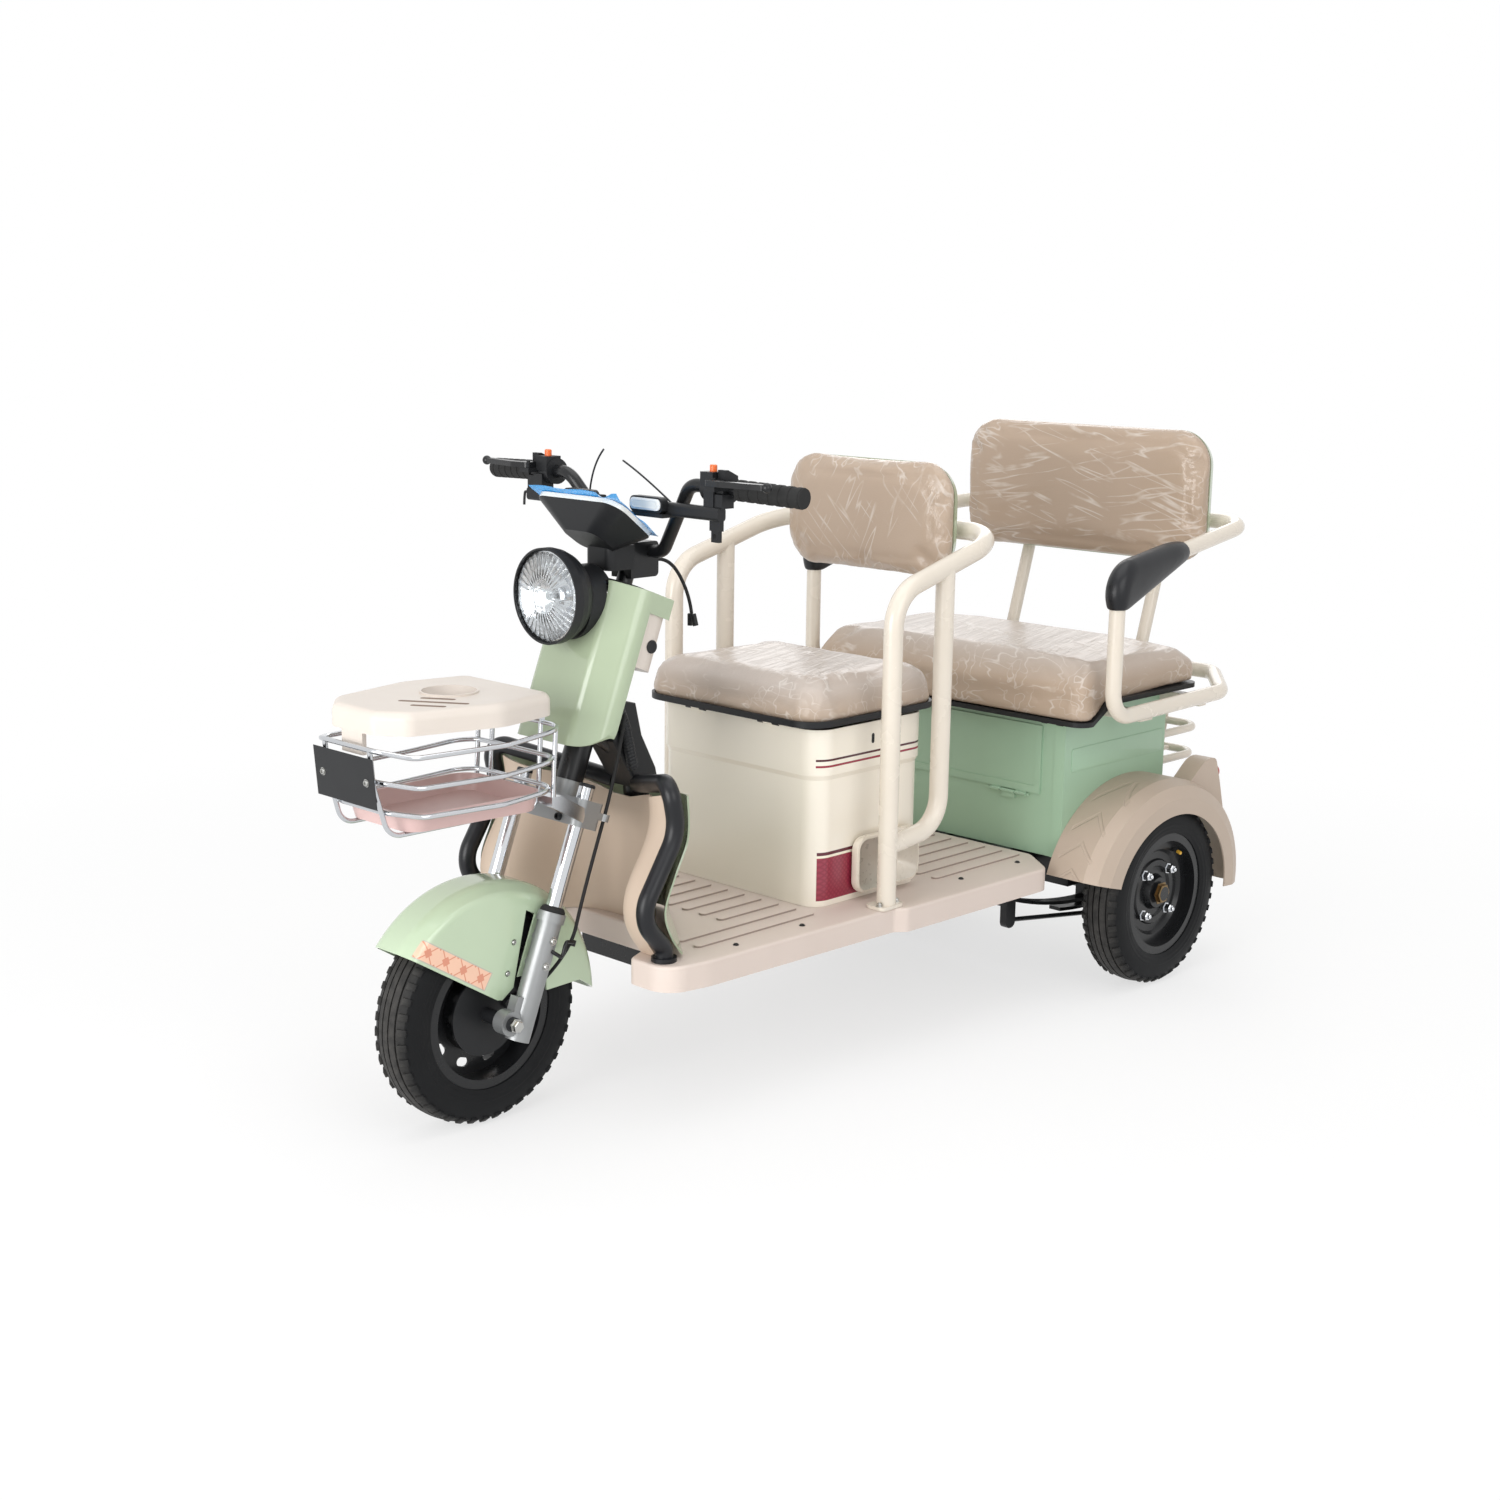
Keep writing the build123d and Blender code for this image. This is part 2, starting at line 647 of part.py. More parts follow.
def hinge_fixed(axis, places, wall):
    """Pins and middle knuckles of a lid hinge, carried by the wall behind them."""
    x, z = axis
    hinge = Part()
    for side in places:
        hinge += rod_y(x, z, PIN, side - 24, side + 24)
        hinge += rod_y(x, z, KNUCKLE, side - 10, side + 10)
        hinge += block((wall - 1, x), (side - 10, side + 10), (z - KNUCKLE, z))
    return hinge


def hinge_moving(axis, places, underside):
    """Outer knuckles of a lid hinge, hung from the lid above them."""
    x, z = axis
    hinge = Part()
    for side in places:
        for low in (side - 24, side + 11):
            knuckle = rod_y(x, z, KNUCKLE, low, low + 13)
            knuckle += block((x - KNUCKLE, x + KNUCKLE), (low, low + 13), (z, underside))
            hinge += knuckle - rod_y(x, z, PIN + RUN_FIT, low - 5, low + 18)
    return hinge


def box_stack(inset, low, high):
    """Driver's box body: straight lower wall, belt step and wider top band."""
    depth = BOX_FRONT - BOX_REAR - 2 * inset
    width = 2 * BOX_HALF - 2 * inset
    belt = 500
    step = 5
    sections = [(low, step), (belt, step), (belt + 9, 0), (high, 0)]
    faces = []
    for z, draw in sections:
        plan = RectangleRounded(depth - 2 * draw, width - 2 * draw, BOX_CORNER - inset - draw)
        faces.append(Pos((BOX_FRONT + BOX_REAR) / 2, 0, z) * plan)
    return loft(faces, ruled=True)


def driver_box():
    """Cream seat box with belt step, side flutes, charging cover and lid hinge lugs."""
    body = box_stack(0, FLOOR_TOP + GAP, BOX_TOP) - box_stack(PLASTIC, FLOOR_TOP + PLASTIC, BOX_TOP + 10)
    pocket = block((BOX_REAR + 35, BOX_REAR + 103), (BOX_HALF - 8, BOX_HALF + 14), (300, 384))
    pocket = fillet(pocket.edges().filter_by(Axis.Y), 14)
    body += pocket
    return body + hinge_fixed(SEAT_AXIS, SEAT_HINGES, BOX_FRONT)


def cushion(length, width, corner, levels):
    """Padded block: rounded plan sections drawn in by (inset, height) steps."""
    faces = []
    for inset, z in levels:
        radius = max(corner - inset * 0.5, 6)
        faces.append(Pos(0, 0, z) * RectangleRounded(length - 2 * inset, width - 2 * inset, radius))
    return loft(faces, ruled=True)


def driver_seat_pan():
    """Seat board with its edge trim and hinge knuckles."""
    length = SEAT_FRONT - SEAT_REAR
    middle = (SEAT_FRONT + SEAT_REAR) / 2
    pan = extrude(RectangleRounded(length, 2 * SEAT_HALF, 52), 11)
    pan -= Pos(0, 0, 5) * extrude(RectangleRounded(length - 10, 2 * SEAT_HALF - 10, 47), 20)
    pan = Pos(middle, 0, SEAT_LOW) * pan
    return pan + hinge_moving(SEAT_AXIS, SEAT_HINGES, SEAT_LOW)


def driver_seat_pad():
    """Driver's cushion."""
    length = SEAT_FRONT - SEAT_REAR - 11
    width = 2 * SEAT_HALF - 11
    levels = [(4, 0), (-2, 10), (-4, 24), (-2, 42), (3, 52), (10, 60), (22, 65), (60, SEAT_HEIGHT - 5)]
    pad = cushion(length, width, 48, levels)
    return Pos((SEAT_FRONT + SEAT_REAR) / 2, 0, SEAT_LOW + 5) * pad


def driver_arm_frame():
    """Bent arm frame in one run with two side loops and floor feet."""
    foot_z = FLOOR_TOP + GAP
    left = [(ARM_X, ARM_Y, foot_z), (ARM_X, ARM_Y, 822), (ARM_BACK, ARM_Y, 905)]
    right = [(x, -y, z) for x, y, z in reversed(left)]
    frame = tube(left + right, [75, 90, 90, 75], ARM_DIA)
    loop_x = ARM_X - 136
    loop = tube([(loop_x, ARM_Y, 858), (loop_x, ARM_Y, 398), (ARM_X, ARM_Y, 384)], [62], ARM_DIA)
    foot = block((ARM_X - 30, ARM_X + 30), (ARM_Y - 24, ARM_Y + 18), (foot_z, foot_z + 6))
    foot = fillet(foot.edges().filter_by(Axis.Z), 10)
    clip = block((ARM_BACK, BACK_X), (80, 104), (894, 916))
    return frame + both(loop + foot + clip)


def back_outline(half, height, corner, inset):
    """Outline of a backrest in its own plane."""
    return RectangleRounded(2 * (half - inset), height - 2 * inset, corner - inset * 0.6)


def back_shell(half, height, corner, depth):
    """Moulded backrest tray: domed back, open towards the cushion."""
    outer = loft(
        [
            back_outline(half, height, corner, 30),
            Pos(0, 0, 9) * back_outline(half, height, corner, 6),
            Pos(0, 0, depth) * back_outline(half, height, corner, 0),
        ],
        ruled=True,
    )
    inner = loft(
        [
            Pos(0, 0, 12) * back_outline(half, height, corner, 10),
            Pos(0, 0, depth + 1) * back_outline(half, height, corner, PLASTIC),
        ],
        ruled=True,
    )
    return outer - inner


def back_pad(half, height, corner, depth):
    """Backrest cushion: seated in its tray, rolled over the rim, crowned in front."""
    rim = depth + GAP
    levels = [(RIM_IN + 11, 12.5), (RIM_IN + 6, rim - 4), (RIM_IN + 6, rim), (2, rim + 1.5), (0, rim + 8)]
    levels += [(1, rim + 15), (7, rim + 21), (15, rim + 25), (28, rim + 28), (58, rim + 30)]
    faces = [Pos(0, 0, z) * back_outline(half, height, corner, inset) for inset, z in levels]
    return loft(faces, ruled=True)


RIM_IN = 4
BACK_DEPTH = 24
REAR_BACK_DEPTH = 26
BACK_X = ARM_BACK + 27
REAR_BACK_X = RACK_X + 46


def driver_backrest_shell():
    """Driver's backrest tray, clamped to the cross run of the arm frame."""
    tray = back_shell(BACK_HALF - RIM_IN, BACK_HEIGHT - 2 * RIM_IN, 64, BACK_DEPTH)
    return Pos(BACK_X, 0, BACK_Z) * (Plane.YZ.location * tray)


def driver_backrest_pad():
    """Driver's backrest cushion."""
    pad = back_pad(BACK_HALF, BACK_HEIGHT, 66, BACK_DEPTH)
    return Pos(BACK_X, 0, BACK_Z) * (Plane.YZ.location * pad)


# Rear seat group


DOOR_HALF = REAR_HALF - 54
DOOR_LOW = 388
DOOR_HIGH = 522
DOOR_AXIS_X = REAR_FRONT + 5
DOOR_AXIS_Z = 383
BENCH_LOW = REAR_FRONT_TOP + 1.5
BENCH_AXIS = (REAR_FRONT + 8, BENCH_LOW - KNUCKLE - GAP)
BENCH_HINGES = (-REAR_HALF + 27, REAR_HALF - 27)
REAR_SLOPE = REAR_FRONT - 57


def rear_box():
    """Folded sheet box with door opening, corner posts and hinge knuckles."""
    outline = [
        (REAR_FRONT, REAR_LOW),
        (REAR_FRONT, REAR_FRONT_TOP),
        (REAR_SLOPE, REAR_SIDE_TOP),
        (REAR_BACK, REAR_SIDE_TOP),
        (REAR_BACK, REAR_LOW),
    ]
    body = side_slab(outline, -REAR_HALF, REAR_HALF)
    body -= block(
        (REAR_BACK + SHEET, REAR_FRONT - SHEET),
        (-REAR_HALF + SHEET, REAR_HALF - SHEET),
        (REAR_LOW + SHEET, REAR_SIDE_TOP + 20),
    )
    mouth = DOOR_HALF - 9
    body -= block((REAR_FRONT - 20, REAR_FRONT + 20), (-mouth, mouth), (DOOR_LOW + 9, DOOR_HIGH - 6))
    post = block((REAR_FRONT, REAR_FRONT + SHEET), (REAR_HALF - 24, REAR_HALF), (REAR_LOW, REAR_FRONT_TOP))
    body += both(post)
    for side in (-150, 150):
        body += rod_y(DOOR_AXIS_X, DOOR_AXIS_Z, 1.5, side - 50, side + 50)
        knuckle = rod_y(DOOR_AXIS_X, DOOR_AXIS_Z, 3.5, side - 16, side + 16)
        leaf = (DOOR_AXIS_Z - 12, DOOR_AXIS_Z - 1)
        knuckle += block((REAR_FRONT, DOOR_AXIS_X), (side - 16, side + 16), leaf)
        body += knuckle
    return body + hinge_fixed(BENCH_AXIS, BENCH_HINGES, REAR_FRONT)


def rear_box_door():
    """Bordered drop door of the rear box."""
    low = REAR_FRONT + GAP
    door = block((low, low + 3), (-DOOR_HALF, DOOR_HALF), (DOOR_LOW, DOOR_HIGH))
    door -= block((low + 1.5, low + 9), (-DOOR_HALF + 14, DOOR_HALF - 14), (DOOR_LOW + 14, DOOR_HIGH - 14))
    for side in (-150, 150):
        for shift in (-42, 18):
            span = (side + shift, side + shift + 24)
            barrel = rod_y(DOOR_AXIS_X, DOOR_AXIS_Z, 3.5, *span)
            barrel += block((low, low + 3), span, (DOOR_AXIS_Z, DOOR_LOW + 1))
            barrel -= rod_y(DOOR_AXIS_X, DOOR_AXIS_Z, 1.5 + RUN_FIT, side - 60, side + 60)
            door += barrel
    return door


def rear_seat_pan():
    """Bench board: flat behind, dropped at the front edge, hinged at the front."""
    low = REAR_SIDE_TOP + 1
    outline = [
        (BENCH_REAR, low),
        (REAR_SLOPE + 1, low),
        (REAR_FRONT + 4, BENCH_LOW),
        (BENCH_FRONT, BENCH_LOW),
        (BENCH_FRONT, BENCH_LOW + BENCH_STEP),
        (REAR_FRONT + 6, BENCH_LOW + BENCH_STEP),
        (REAR_SLOPE + 3, low + BENCH_STEP),
        (BENCH_REAR, low + BENCH_STEP),
    ]
    pan = side_slab(outline, -BENCH_HALF, BENCH_HALF)
    corners = pan.edges().filter_by(Axis.Z)
    pan = fillet(corners, 30)
    return pan + hinge_moving(BENCH_AXIS, BENCH_HINGES, BENCH_LOW)


def bench_section(inset, lift):
    """Side-view section of the bench cushion."""
    base = REAR_SIDE_TOP + 1 + BENCH_STEP + GAP
    nose = BENCH_LOW + BENCH_STEP + GAP
    outline = [
        (BENCH_REAR + inset, base),
        (REAR_SLOPE + 4, base),
        (REAR_FRONT + 7, nose),
        (BENCH_FRONT - inset, nose),
        (BENCH_FRONT + 4 - inset, 606 - inset * 0.4),
        (BENCH_FRONT - 44 - inset, BENCH_TOP - inset + lift),
        (BENCH_REAR + 50 + inset, BENCH_TOP - inset + lift),
        (BENCH_REAR + inset, BENCH_TOP - 26 - inset * 0.4),
    ]
    return rounded(outline, [4, 8, 3, 5, 20, 30, 36, 12])


def rear_seat_pad():
    """Bench cushion with crowned top and a rolled front edge."""
    half = BENCH_HALF - 3
    steps = [(half, 22, -4), (half - 6, 10, -2), (half - 24, 2, 0), (170, 0, 6)]
    stations = steps + [(-y, inset, lift) for y, inset, lift in reversed(steps)]
    faces = [Plane.XZ.offset(-y) * bench_section(inset, lift) for y, inset, lift in stations]
    return loft(faces, ruled=True)


ARM_RAIL = [(REAR_ARM_X, REAR_ARM_Y, 822), (RACK_X + 13, REAR_ARM_Y - 28, 886)]


def rear_arm_frame():
    """Closed arm loop around the bench with slanted back posts and brackets."""
    upper = [(REAR_ARM_X, REAR_ARM_Y, 690)] + ARM_RAIL
    upper += [(x, -y, z) for x, y, z in reversed(upper)]
    lower = [
        (REAR_ARM_X, REAR_ARM_Y, 700),
        (REAR_ARM_X, REAR_ARM_Y, 556),
        (REAR_BACK - 46, REAR_ARM_Y - 4, 562),
        (RACK_X, REAR_ARM_Y - 94, RACK_Z),
    ]
    lower += [(x, -y, z) for x, y, z in reversed(lower)]
    frame = tube(upper, [45, 62, 62, 45], REAR_ARM_DIA)
    frame += tube(lower, [52, 60, 44, 44, 60, 52], REAR_ARM_DIA)
    post = tube([(REAR_BACK - 42, 166, 540), (RACK_X + 12, 166, 884)], [], 26)
    post += block((REAR_BACK - 56, REAR_BACK), (152, 180), (524, 548))
    post += block((RACK_X + 13, REAR_BACK_X), (92, 116), (876, 896))
    stay = block((58, 98), (REAR_HALF, REAR_ARM_Y - 8), (536, 552))
    stay += block((-128, -104), (REAR_HALF, REAR_ARM_Y - 8), (540, 560))
    return frame + both(post + stay)


def armrest_pads():
    """Moulded pads over the front bends of the arm loop, thickest at the bend."""
    start, end = (Vector(*point) for point in ARM_RAIL)
    stop = start + (end - start) * 0.47
    path = [(REAR_ARM_X, REAR_ARM_Y, 762), tuple(start), tuple(stop)]
    run = FilletPolyline(*path, radius=45)
    girth = [(0, 19, 19), (0.05, 22, 23), (0.3, 24, 28), (0.62, 24, 27), (0.94, 22, 23), (1, 19, 19)]
    sections = [
        Plane(run @ at, x_dir=(0, 1, 0), z_dir=run % at) * Ellipse(wide, tall) for at, wide, tall in girth
    ]
    pad = sweep(sections, path=run, multisection=True)
    return both(pad - tube(path, [45], REAR_ARM_DIA + 0.4))


def rear_backrest_shell():
    """Rear backrest tray, clamped to the cross run of the arm loop."""
    tray = back_shell(REAR_BACK_HALF - RIM_IN, REAR_BACK_HEIGHT - 2 * RIM_IN, 68, REAR_BACK_DEPTH)
    return Pos(REAR_BACK_X, 0, REAR_BACK_Z) * (Plane.YZ.location * tray)


def rear_backrest_pad():
    """Rear backrest cushion."""
    pad = back_pad(REAR_BACK_HALF, REAR_BACK_HEIGHT, 70, REAR_BACK_DEPTH)
    return Pos(REAR_BACK_X, 0, REAR_BACK_Z) * (Plane.YZ.location * pad)


def rear_basket():
    """Rails and floor wires behind the rear box."""
    rail_dia = 16
    basket = Part()
    for z, drop in ((518, 0), (462, 6), (408, 14)):
        back = RACK_X + drop
        half = REAR_HALF - 16
        rail = [(REAR_BACK, half, z), (back, half, z), (back, -half, z), (REAR_BACK, -half, z)]
        basket += tube(rail, [40, 40], rail_dia)
    for side in range(-3, 4):
        wire = [(REAR_BACK, side * 66, 408), (RACK_X + 14, side * 66, 408)]
        basket += tube(wire, [], 10)
    for side in (-180, 0, 180):
        upright = [(RACK_X + 16, side, 408), (RACK_X + 6, side, 462), (RACK_X, side, BASKET_FLOOR)]
        basket += tube(upright[:2], [], 10) + tube(upright[1:], [], 10)
        basket += tube([(RACK_X, side, BASKET_FLOOR), (RACK_X, side, RACK_Z - REAR_ARM_DIA / 2)], [], 10)
    return basket


MUDGUARD_CROWN = TYRE_RADIUS + 45
MUDGUARD_STRETCH = 1.16


def rear_mudguard():
    """Left mudguard: rolled shell over the tyre with a turned outer lip."""
    crown = MUDGUARD_CROWN
    wall = PLASTIC
    lip = HALF_TRACK + 55
    section = [
        (crown, REAR_HALF + GAP / 2),
        (crown, lip - 39),
        (crown - 10, lip - 13),
        (crown - 34, lip - 2),
        (crown - 64, lip),
        (crown - 64, lip - wall),
        (crown - 35, lip - 2 - wall),
        (crown - 12, lip - 15 - wall),
        (crown - wall, lip - 41),
        (crown - wall, REAR_HALF + GAP / 2),
    ]
    face = Polygon(*section, align=None)
    guard = Rot(0, -17, 0) * revolve(face, axis=Axis.Y, revolution_arc=-169)
    guard = scale(guard, by=(MUDGUARD_STRETCH, 1, 1))
    return Pos(0, 0, TYRE_RADIUS) * guard


TAIL_LAMP = (HALF_TRACK - 7, 388)
TAIL_LAMP_RADIUS = 15


def rear_mudguards():
    """Both rear mudguards, each with a fin that carries the tail lamp."""
    fin = [(-92, 376), (-160, 426), (-196, 422), (-214, 372), (-240, 286), (-190, 300), (-120, 350)]
    horn = side_slab(fin, HALF_TRACK - 28, HALF_TRACK + 14, [4, 60, 16, 60, 4, 40, 40])
    inside = Ellipse(MUDGUARD_CROWN * MUDGUARD_STRETCH - 2, MUDGUARD_CROWN - 2)
    horn -= extrude(Plane.XZ * Pos(0, TYRE_RADIUS) * inside, 500, both=True)
    horn -= rod_x(*TAIL_LAMP, TAIL_LAMP_RADIUS + GAP, -260, -202)
    return both(rear_mudguard() + horn)


def tail_lamps():
    """Round red lamps let into the back of the mudguard fins."""
    lamp = rod_x(*TAIL_LAMP, TAIL_LAMP_RADIUS, -224, -202)
    return both(fillet(lamp.edges().sort_by(Axis.X)[0], 4))


# Battery


def battery_pack():
    """Five cells side by side in the driver's box."""
    pack = Part()
    cells = 5
    rear = BOX_REAR + 35
    front = BOX_FRONT - 79
    cell_width = (2 * BOX_HALF - 30) / cells
    for count in range(cells):
        low = (count - cells / 2) * cell_width
        pack += block((rear, front), (low + GAP, low + cell_width), (FLOOR_TOP + PLASTIC, FLOOR_TOP + 171))
    strap = BOX_HALF - 18
    pack += block((rear + 6, front - 6), (-strap, strap), (FLOOR_TOP + 166, FLOOR_TOP + 176))
    return pack


# Fork and front wheel group


def crown_plate(low, high):
    """Fork yoke between the legs and the column."""
    half = LEG_SIDE + 22
    outline = [(-26, -30), (4, -half), (LEG_AHEAD + 24, -half), (LEG_AHEAD + 24, half), (4, half), (-26, 30)]
    plate = extrude(rounded(outline, [20, 10, 16, 16, 10, 20]), high - low)
    return STEER.location * Pos(0, 0, low) * plate


def fork_crown():
    """Yoke with steering column, leg clamps and the cable guide."""
    crown = crown_plate(CROWN_LOW, CROWN_HIGH)
    crown += rod_steer(0, 0, STEERER_RADIUS, CROWN_LOW, 296)
    crown += rod_steer(0, 0, HEAD_RADIUS, CROWN_HIGH, HEAD_LOW - GAP)
    for side in (-LEG_SIDE, LEG_SIDE):
        crown -= rod_steer(LEG_AHEAD, side, STANCHION_RADIUS, CROWN_LOW - 10, CROWN_HIGH + 10)
    guide = rod_steer(-8, 96, 8, -26, -14) + STEER.location * block((-8, 10), (92, 100), (-26, -14))
    return crown + guide - rod_steer(-8, 96, 3.3, -40, 0)


def fork_stanchions():
    """Bright inner fork tubes."""
    leg = rod_steer(LEG_AHEAD, LEG_SIDE, STANCHION_RADIUS, STANCHION_LOW, 20)
    leg -= rod_steer(LEG_AHEAD, LEG_SIDE, STANCHION_RADIUS - 2.5, STANCHION_LOW - 10, 14)
    return both(leg)


def fork_sliders():
    """Cast lower legs with axle lugs and fender bosses."""
    leg = rod_steer(LEG_AHEAD, LEG_SIDE, SLIDER_RADIUS, SLIDER_LOW, SLIDER_TOP)
    leg += rod_steer(LEG_AHEAD, LEG_SIDE, SLIDER_RADIUS + 3, SLIDER_TOP - 16, SLIDER_TOP)
    lug = Pos(AXLE_IN_FORK.X, LEG_SIDE, AXLE_IN_FORK.Z) * Rot(-90, 0, 0) * Cylinder(20, 24)
    web_span = (SLIDER_LOW + 6, AXLE_IN_FORK.Z + 44)
    web = block((LEG_AHEAD, AXLE_IN_FORK.X), (LEG_SIDE - 9, LEG_SIDE + 9), web_span)
    leg += STEER.location * (lug + web)
    low = FENDER_HALF + GAP
    boss = Cylinder(7, LEG_SIDE - low - 10, align=(MID, MID, MIN))
    boss = Pos(LEG_AHEAD, low, -232) * Rot(-90, 0, 0) * boss
    boss += Pos(0, 0, -42) * boss
    leg += STEER.location * boss
    leg -= rod_steer(LEG_AHEAD, LEG_SIDE, STANCHION_RADIUS + RUN_FIT, SLIDER_BORE_LOW, SLIDER_TOP + 10)
    leg -= rod_y(WHEELBASE, TYRE_RADIUS, FRONT_AXLE_RADIUS, 0, 200)
    return both(leg)


def front_axle():
    """Axle bolt with nuts, spacers and the left brake plate with its arm."""
    axle = rod_y(WHEELBASE, TYRE_RADIUS, FRONT_AXLE_RADIUS, -104, 104)
    out = LEG_SIDE + 12
    for low, high in ((-out - 10, -out), (out, out + 10), (-LEG_SIDE + 12, -31), (24, LEG_SIDE - 12)):
        axle += rod_y(WHEELBASE, TYRE_RADIUS, 12, low, high)
    axle += rod_y(WHEELBASE, TYRE_RADIUS, 68, 21, 26)
    arm = side_slab([(-40, -8), (-40, 8), (-92, 6), (-92, -6)], 27, 33, 4)
    arm += rod_y(-44, 0, 9, 20, 34)
    axle += Pos(WHEELBASE, 0, TYRE_RADIUS) * Rot(0, 14, 0) * arm
    return axle


def fender_shell(radius, half):
    """Hoop of the front fender: crowned top and straight skirts."""
    low = 20
    outline = [(low, -half), (radius - 18, -half), (radius, -half + 24)]
    face = rounded(outline + [(r, -y) for r, y in reversed(outline)], [1, 14, 26, 26, 14, 1])
    return revolve(face, axis=Axis.Y)


def front_fender():
    """Glossy fender with deep front skirts and a tail behind the fork."""
    hoop = fender_shell(FENDER_RADIUS, FENDER_HALF)
    hoop -= fender_shell(FENDER_RADIUS - PLASTIC, FENDER_HALF - PLASTIC)
    hoop -= Rot(-90, 0, 0) * Cylinder(30, 200)
    keep = [
        (198, 154),
        (-8, 26),
        (-34, 44),
        (-62, 168),
        (-96, 150),
        (-104, 24),
        (-176, 26),
        (-232, -12),
        (-260, 0),
        (-240, 240),
        (160, 300),
    ]
    tab = [(-43, 60), (-69, 60), (-115, 180), (-89, 180)]
    hoop -= block((-400, 400), (-80, 80), (-400, 400)) - side_slab(keep, -90, 90) - side_slab(tab, -90, 90)
    return Pos(WHEELBASE, 0, TYRE_RADIUS) * hoop


def brake_cable():
    """Front brake cable from inside the cowl down to the brake arm."""
    along = Rot(0, 14, 0) * Pos(-84, 0, 0)
    tip = along.position
    end = STEER.to_local_coords(Vector(WHEELBASE + tip.X, 38, TYRE_RADIUS + tip.Z))
    route = [
        (-6, 80, 150),
        (-8, 96, 66),
        (-8, 96, -150),
        (-16, 96, -250),
        (end.X, end.Y, end.Z),
    ]
    points = [steer_point(*stop) for stop in route]
    return tube(points, [90, 120, 90], 6)


# Handlebar group


CLAMP_FRONT = STEER_X - 125
CLAMP_BACK = STEER_X - 187


def handlebar():
    """Bent bar with column stem and clamp."""
    left = [BAR_END, BAR_BEND, BAR_RISE]
    right = [(x, -y, z) for x, y, z in reversed(left)]
    bar = tube(left + right, [34, 30, 30, 34], BAR_DIA)
    stem = rod_steer(0, 0, 14, 297, 402)
    head = steer_point(0, 0, 396)
    clamp = block((CLAMP_BACK, CLAMP_FRONT), (-24, 24), (head[2] - 20, 918))
    clamp = fillet(clamp.edges().filter_by(Axis.Y).sort_by(Axis.X)[:2], 8)
    return bar + stem + clamp


def dash_outline(inset):
    """Plan of the instrument pod."""
    points = [(-60, -88), (56, -104), (56, 104), (-60, 88)]
    corner = [24, 30, 30, 24]
    face = rounded(points, corner)
    return offset(face, amount=-inset) if inset else face


DASH_PLANE = Plane(origin=(STEER_X - 69, 0, 970), x_dir=(0.83, 0, 0.56), z_dir=(-0.56, 0, 0.83))


def dash_housing():
    """Black instrument pod with a foot that stands on the clamp."""
    pod = loft([Pos(0, 0, -8) * dash_outline(0), Pos(-12, 0, -46) * RectangleRounded(64, 84, 20)])
    pod = DASH_PLANE.location * pod
    foot = block((CLAMP_FRONT, CLAMP_FRONT + 54), (-32, 32), (876, 916))
    pod += fillet(foot.edges().filter_by(Axis.Z).sort_by(Axis.X)[-2:], 14)
    pod -= block((CLAMP_BACK, CLAMP_FRONT), (-34, 34), (800, 922))
    left = [BAR_BEND, BAR_RISE]
    bar = left + [(x, -y, z) for x, y, z in reversed(left)]
    return pod - tube(bar, [30, 30], BAR_DIA + 2 * GAP)


def dash_panel():
    """Pale rim and sunk face of the instrument pod."""
    rim = extrude(Pos(0, 0, -8) * dash_outline(0), 8)
    rim -= Pos(0, 0, -4) * extrude(dash_outline(12), 10)
    return DASH_PLANE.location * rim


def indicator_bars():
    """Lamp carriers clamped under the handlebar."""
    arm = block((BAR_X + 5, BAR_X + 23), (46, 232), (970, 992))
    arm = fillet(arm.edges().filter_by(Axis.Y), 6)
    arm += block((BAR_X + 12, BAR_X + 40), (42, 124), (968, 974))
    stay = block((BAR_X - 7, BAR_X + 19), (196, 218), (984, 1016))
    thick = (BAR_X + 7, BAR_X + 15)
    hook = block(thick, (206, 230), (954, 978)) + block(thick, (210, 226), (936, 956))
    hook -= rod_x(218, 946, 4, BAR_X - 17, BAR_X + 43)
    return both(arm + stay - bar_rod(BAR_DIA / 2 + RUN_FIT, -20, 200)) + hook


def indicator_lamps():
    """Clear rounded lamps in front of the carriers."""
    lamp = block((BAR_X + 23, BAR_X + 37), (44, 120), (974, 1000))
    lamp = fillet(lamp.edges().filter_by(Axis.X), 10)
    return both(lamp)


def pod_body():
    """Left switch pod with button pedestal and lever perch."""
    pod = bar_rod(22, 36, 84)
    pod += block((BAR_X - 15, BAR_X + 17), (186, 214), (1022, 1046))
    thumb = [(-21, 1026), (-21, 1040), (1, 1050), (8, 1050), (8, 1026)]
    pod += side_slab([(BAR_X + x, z) for x, z in thumb], 217, 233)
    pod += block((BAR_X - 9, BAR_X + 17), (214, 236), (990, 1012))
    pod += block((BAR_X - 3, BAR_X + 35), (212, 236), (1018, 1026))
    pod += Pos(*LEVER_PIVOT[:2], 1018) * Cylinder(3, 20, align=(MID, MID, MIN))
    pod -= bar_rod(BAR_DIA / 2 + RUN_FIT, -60, 230)
    pod -= Pos(BUTTON[0], BUTTON[1], BUTTON_SEAT) * Cylinder(6 + RUN_FIT, 40, align=(MID, MID, MIN))
    return pod


LEVER_PIVOT = (BAR_X + 25, 224, 1026)
BUTTON = (BAR_X + 1, 200)
BUTTON_SEAT = 1038


def control_pods():
    """Switch pods and lamp carriers on both sides, one with an eyelet hook."""
    return indicator_bars() + both(pod_body())


def button_left():
    """Orange push button."""
    cap = Cylinder(6, 15, align=(MID, MID, MIN))
    cap = fillet(cap.edges().sort_by(Axis.Z)[-1], 2)
    return Pos(BUTTON[0], BUTTON[1], BUTTON_SEAT + 4) * cap


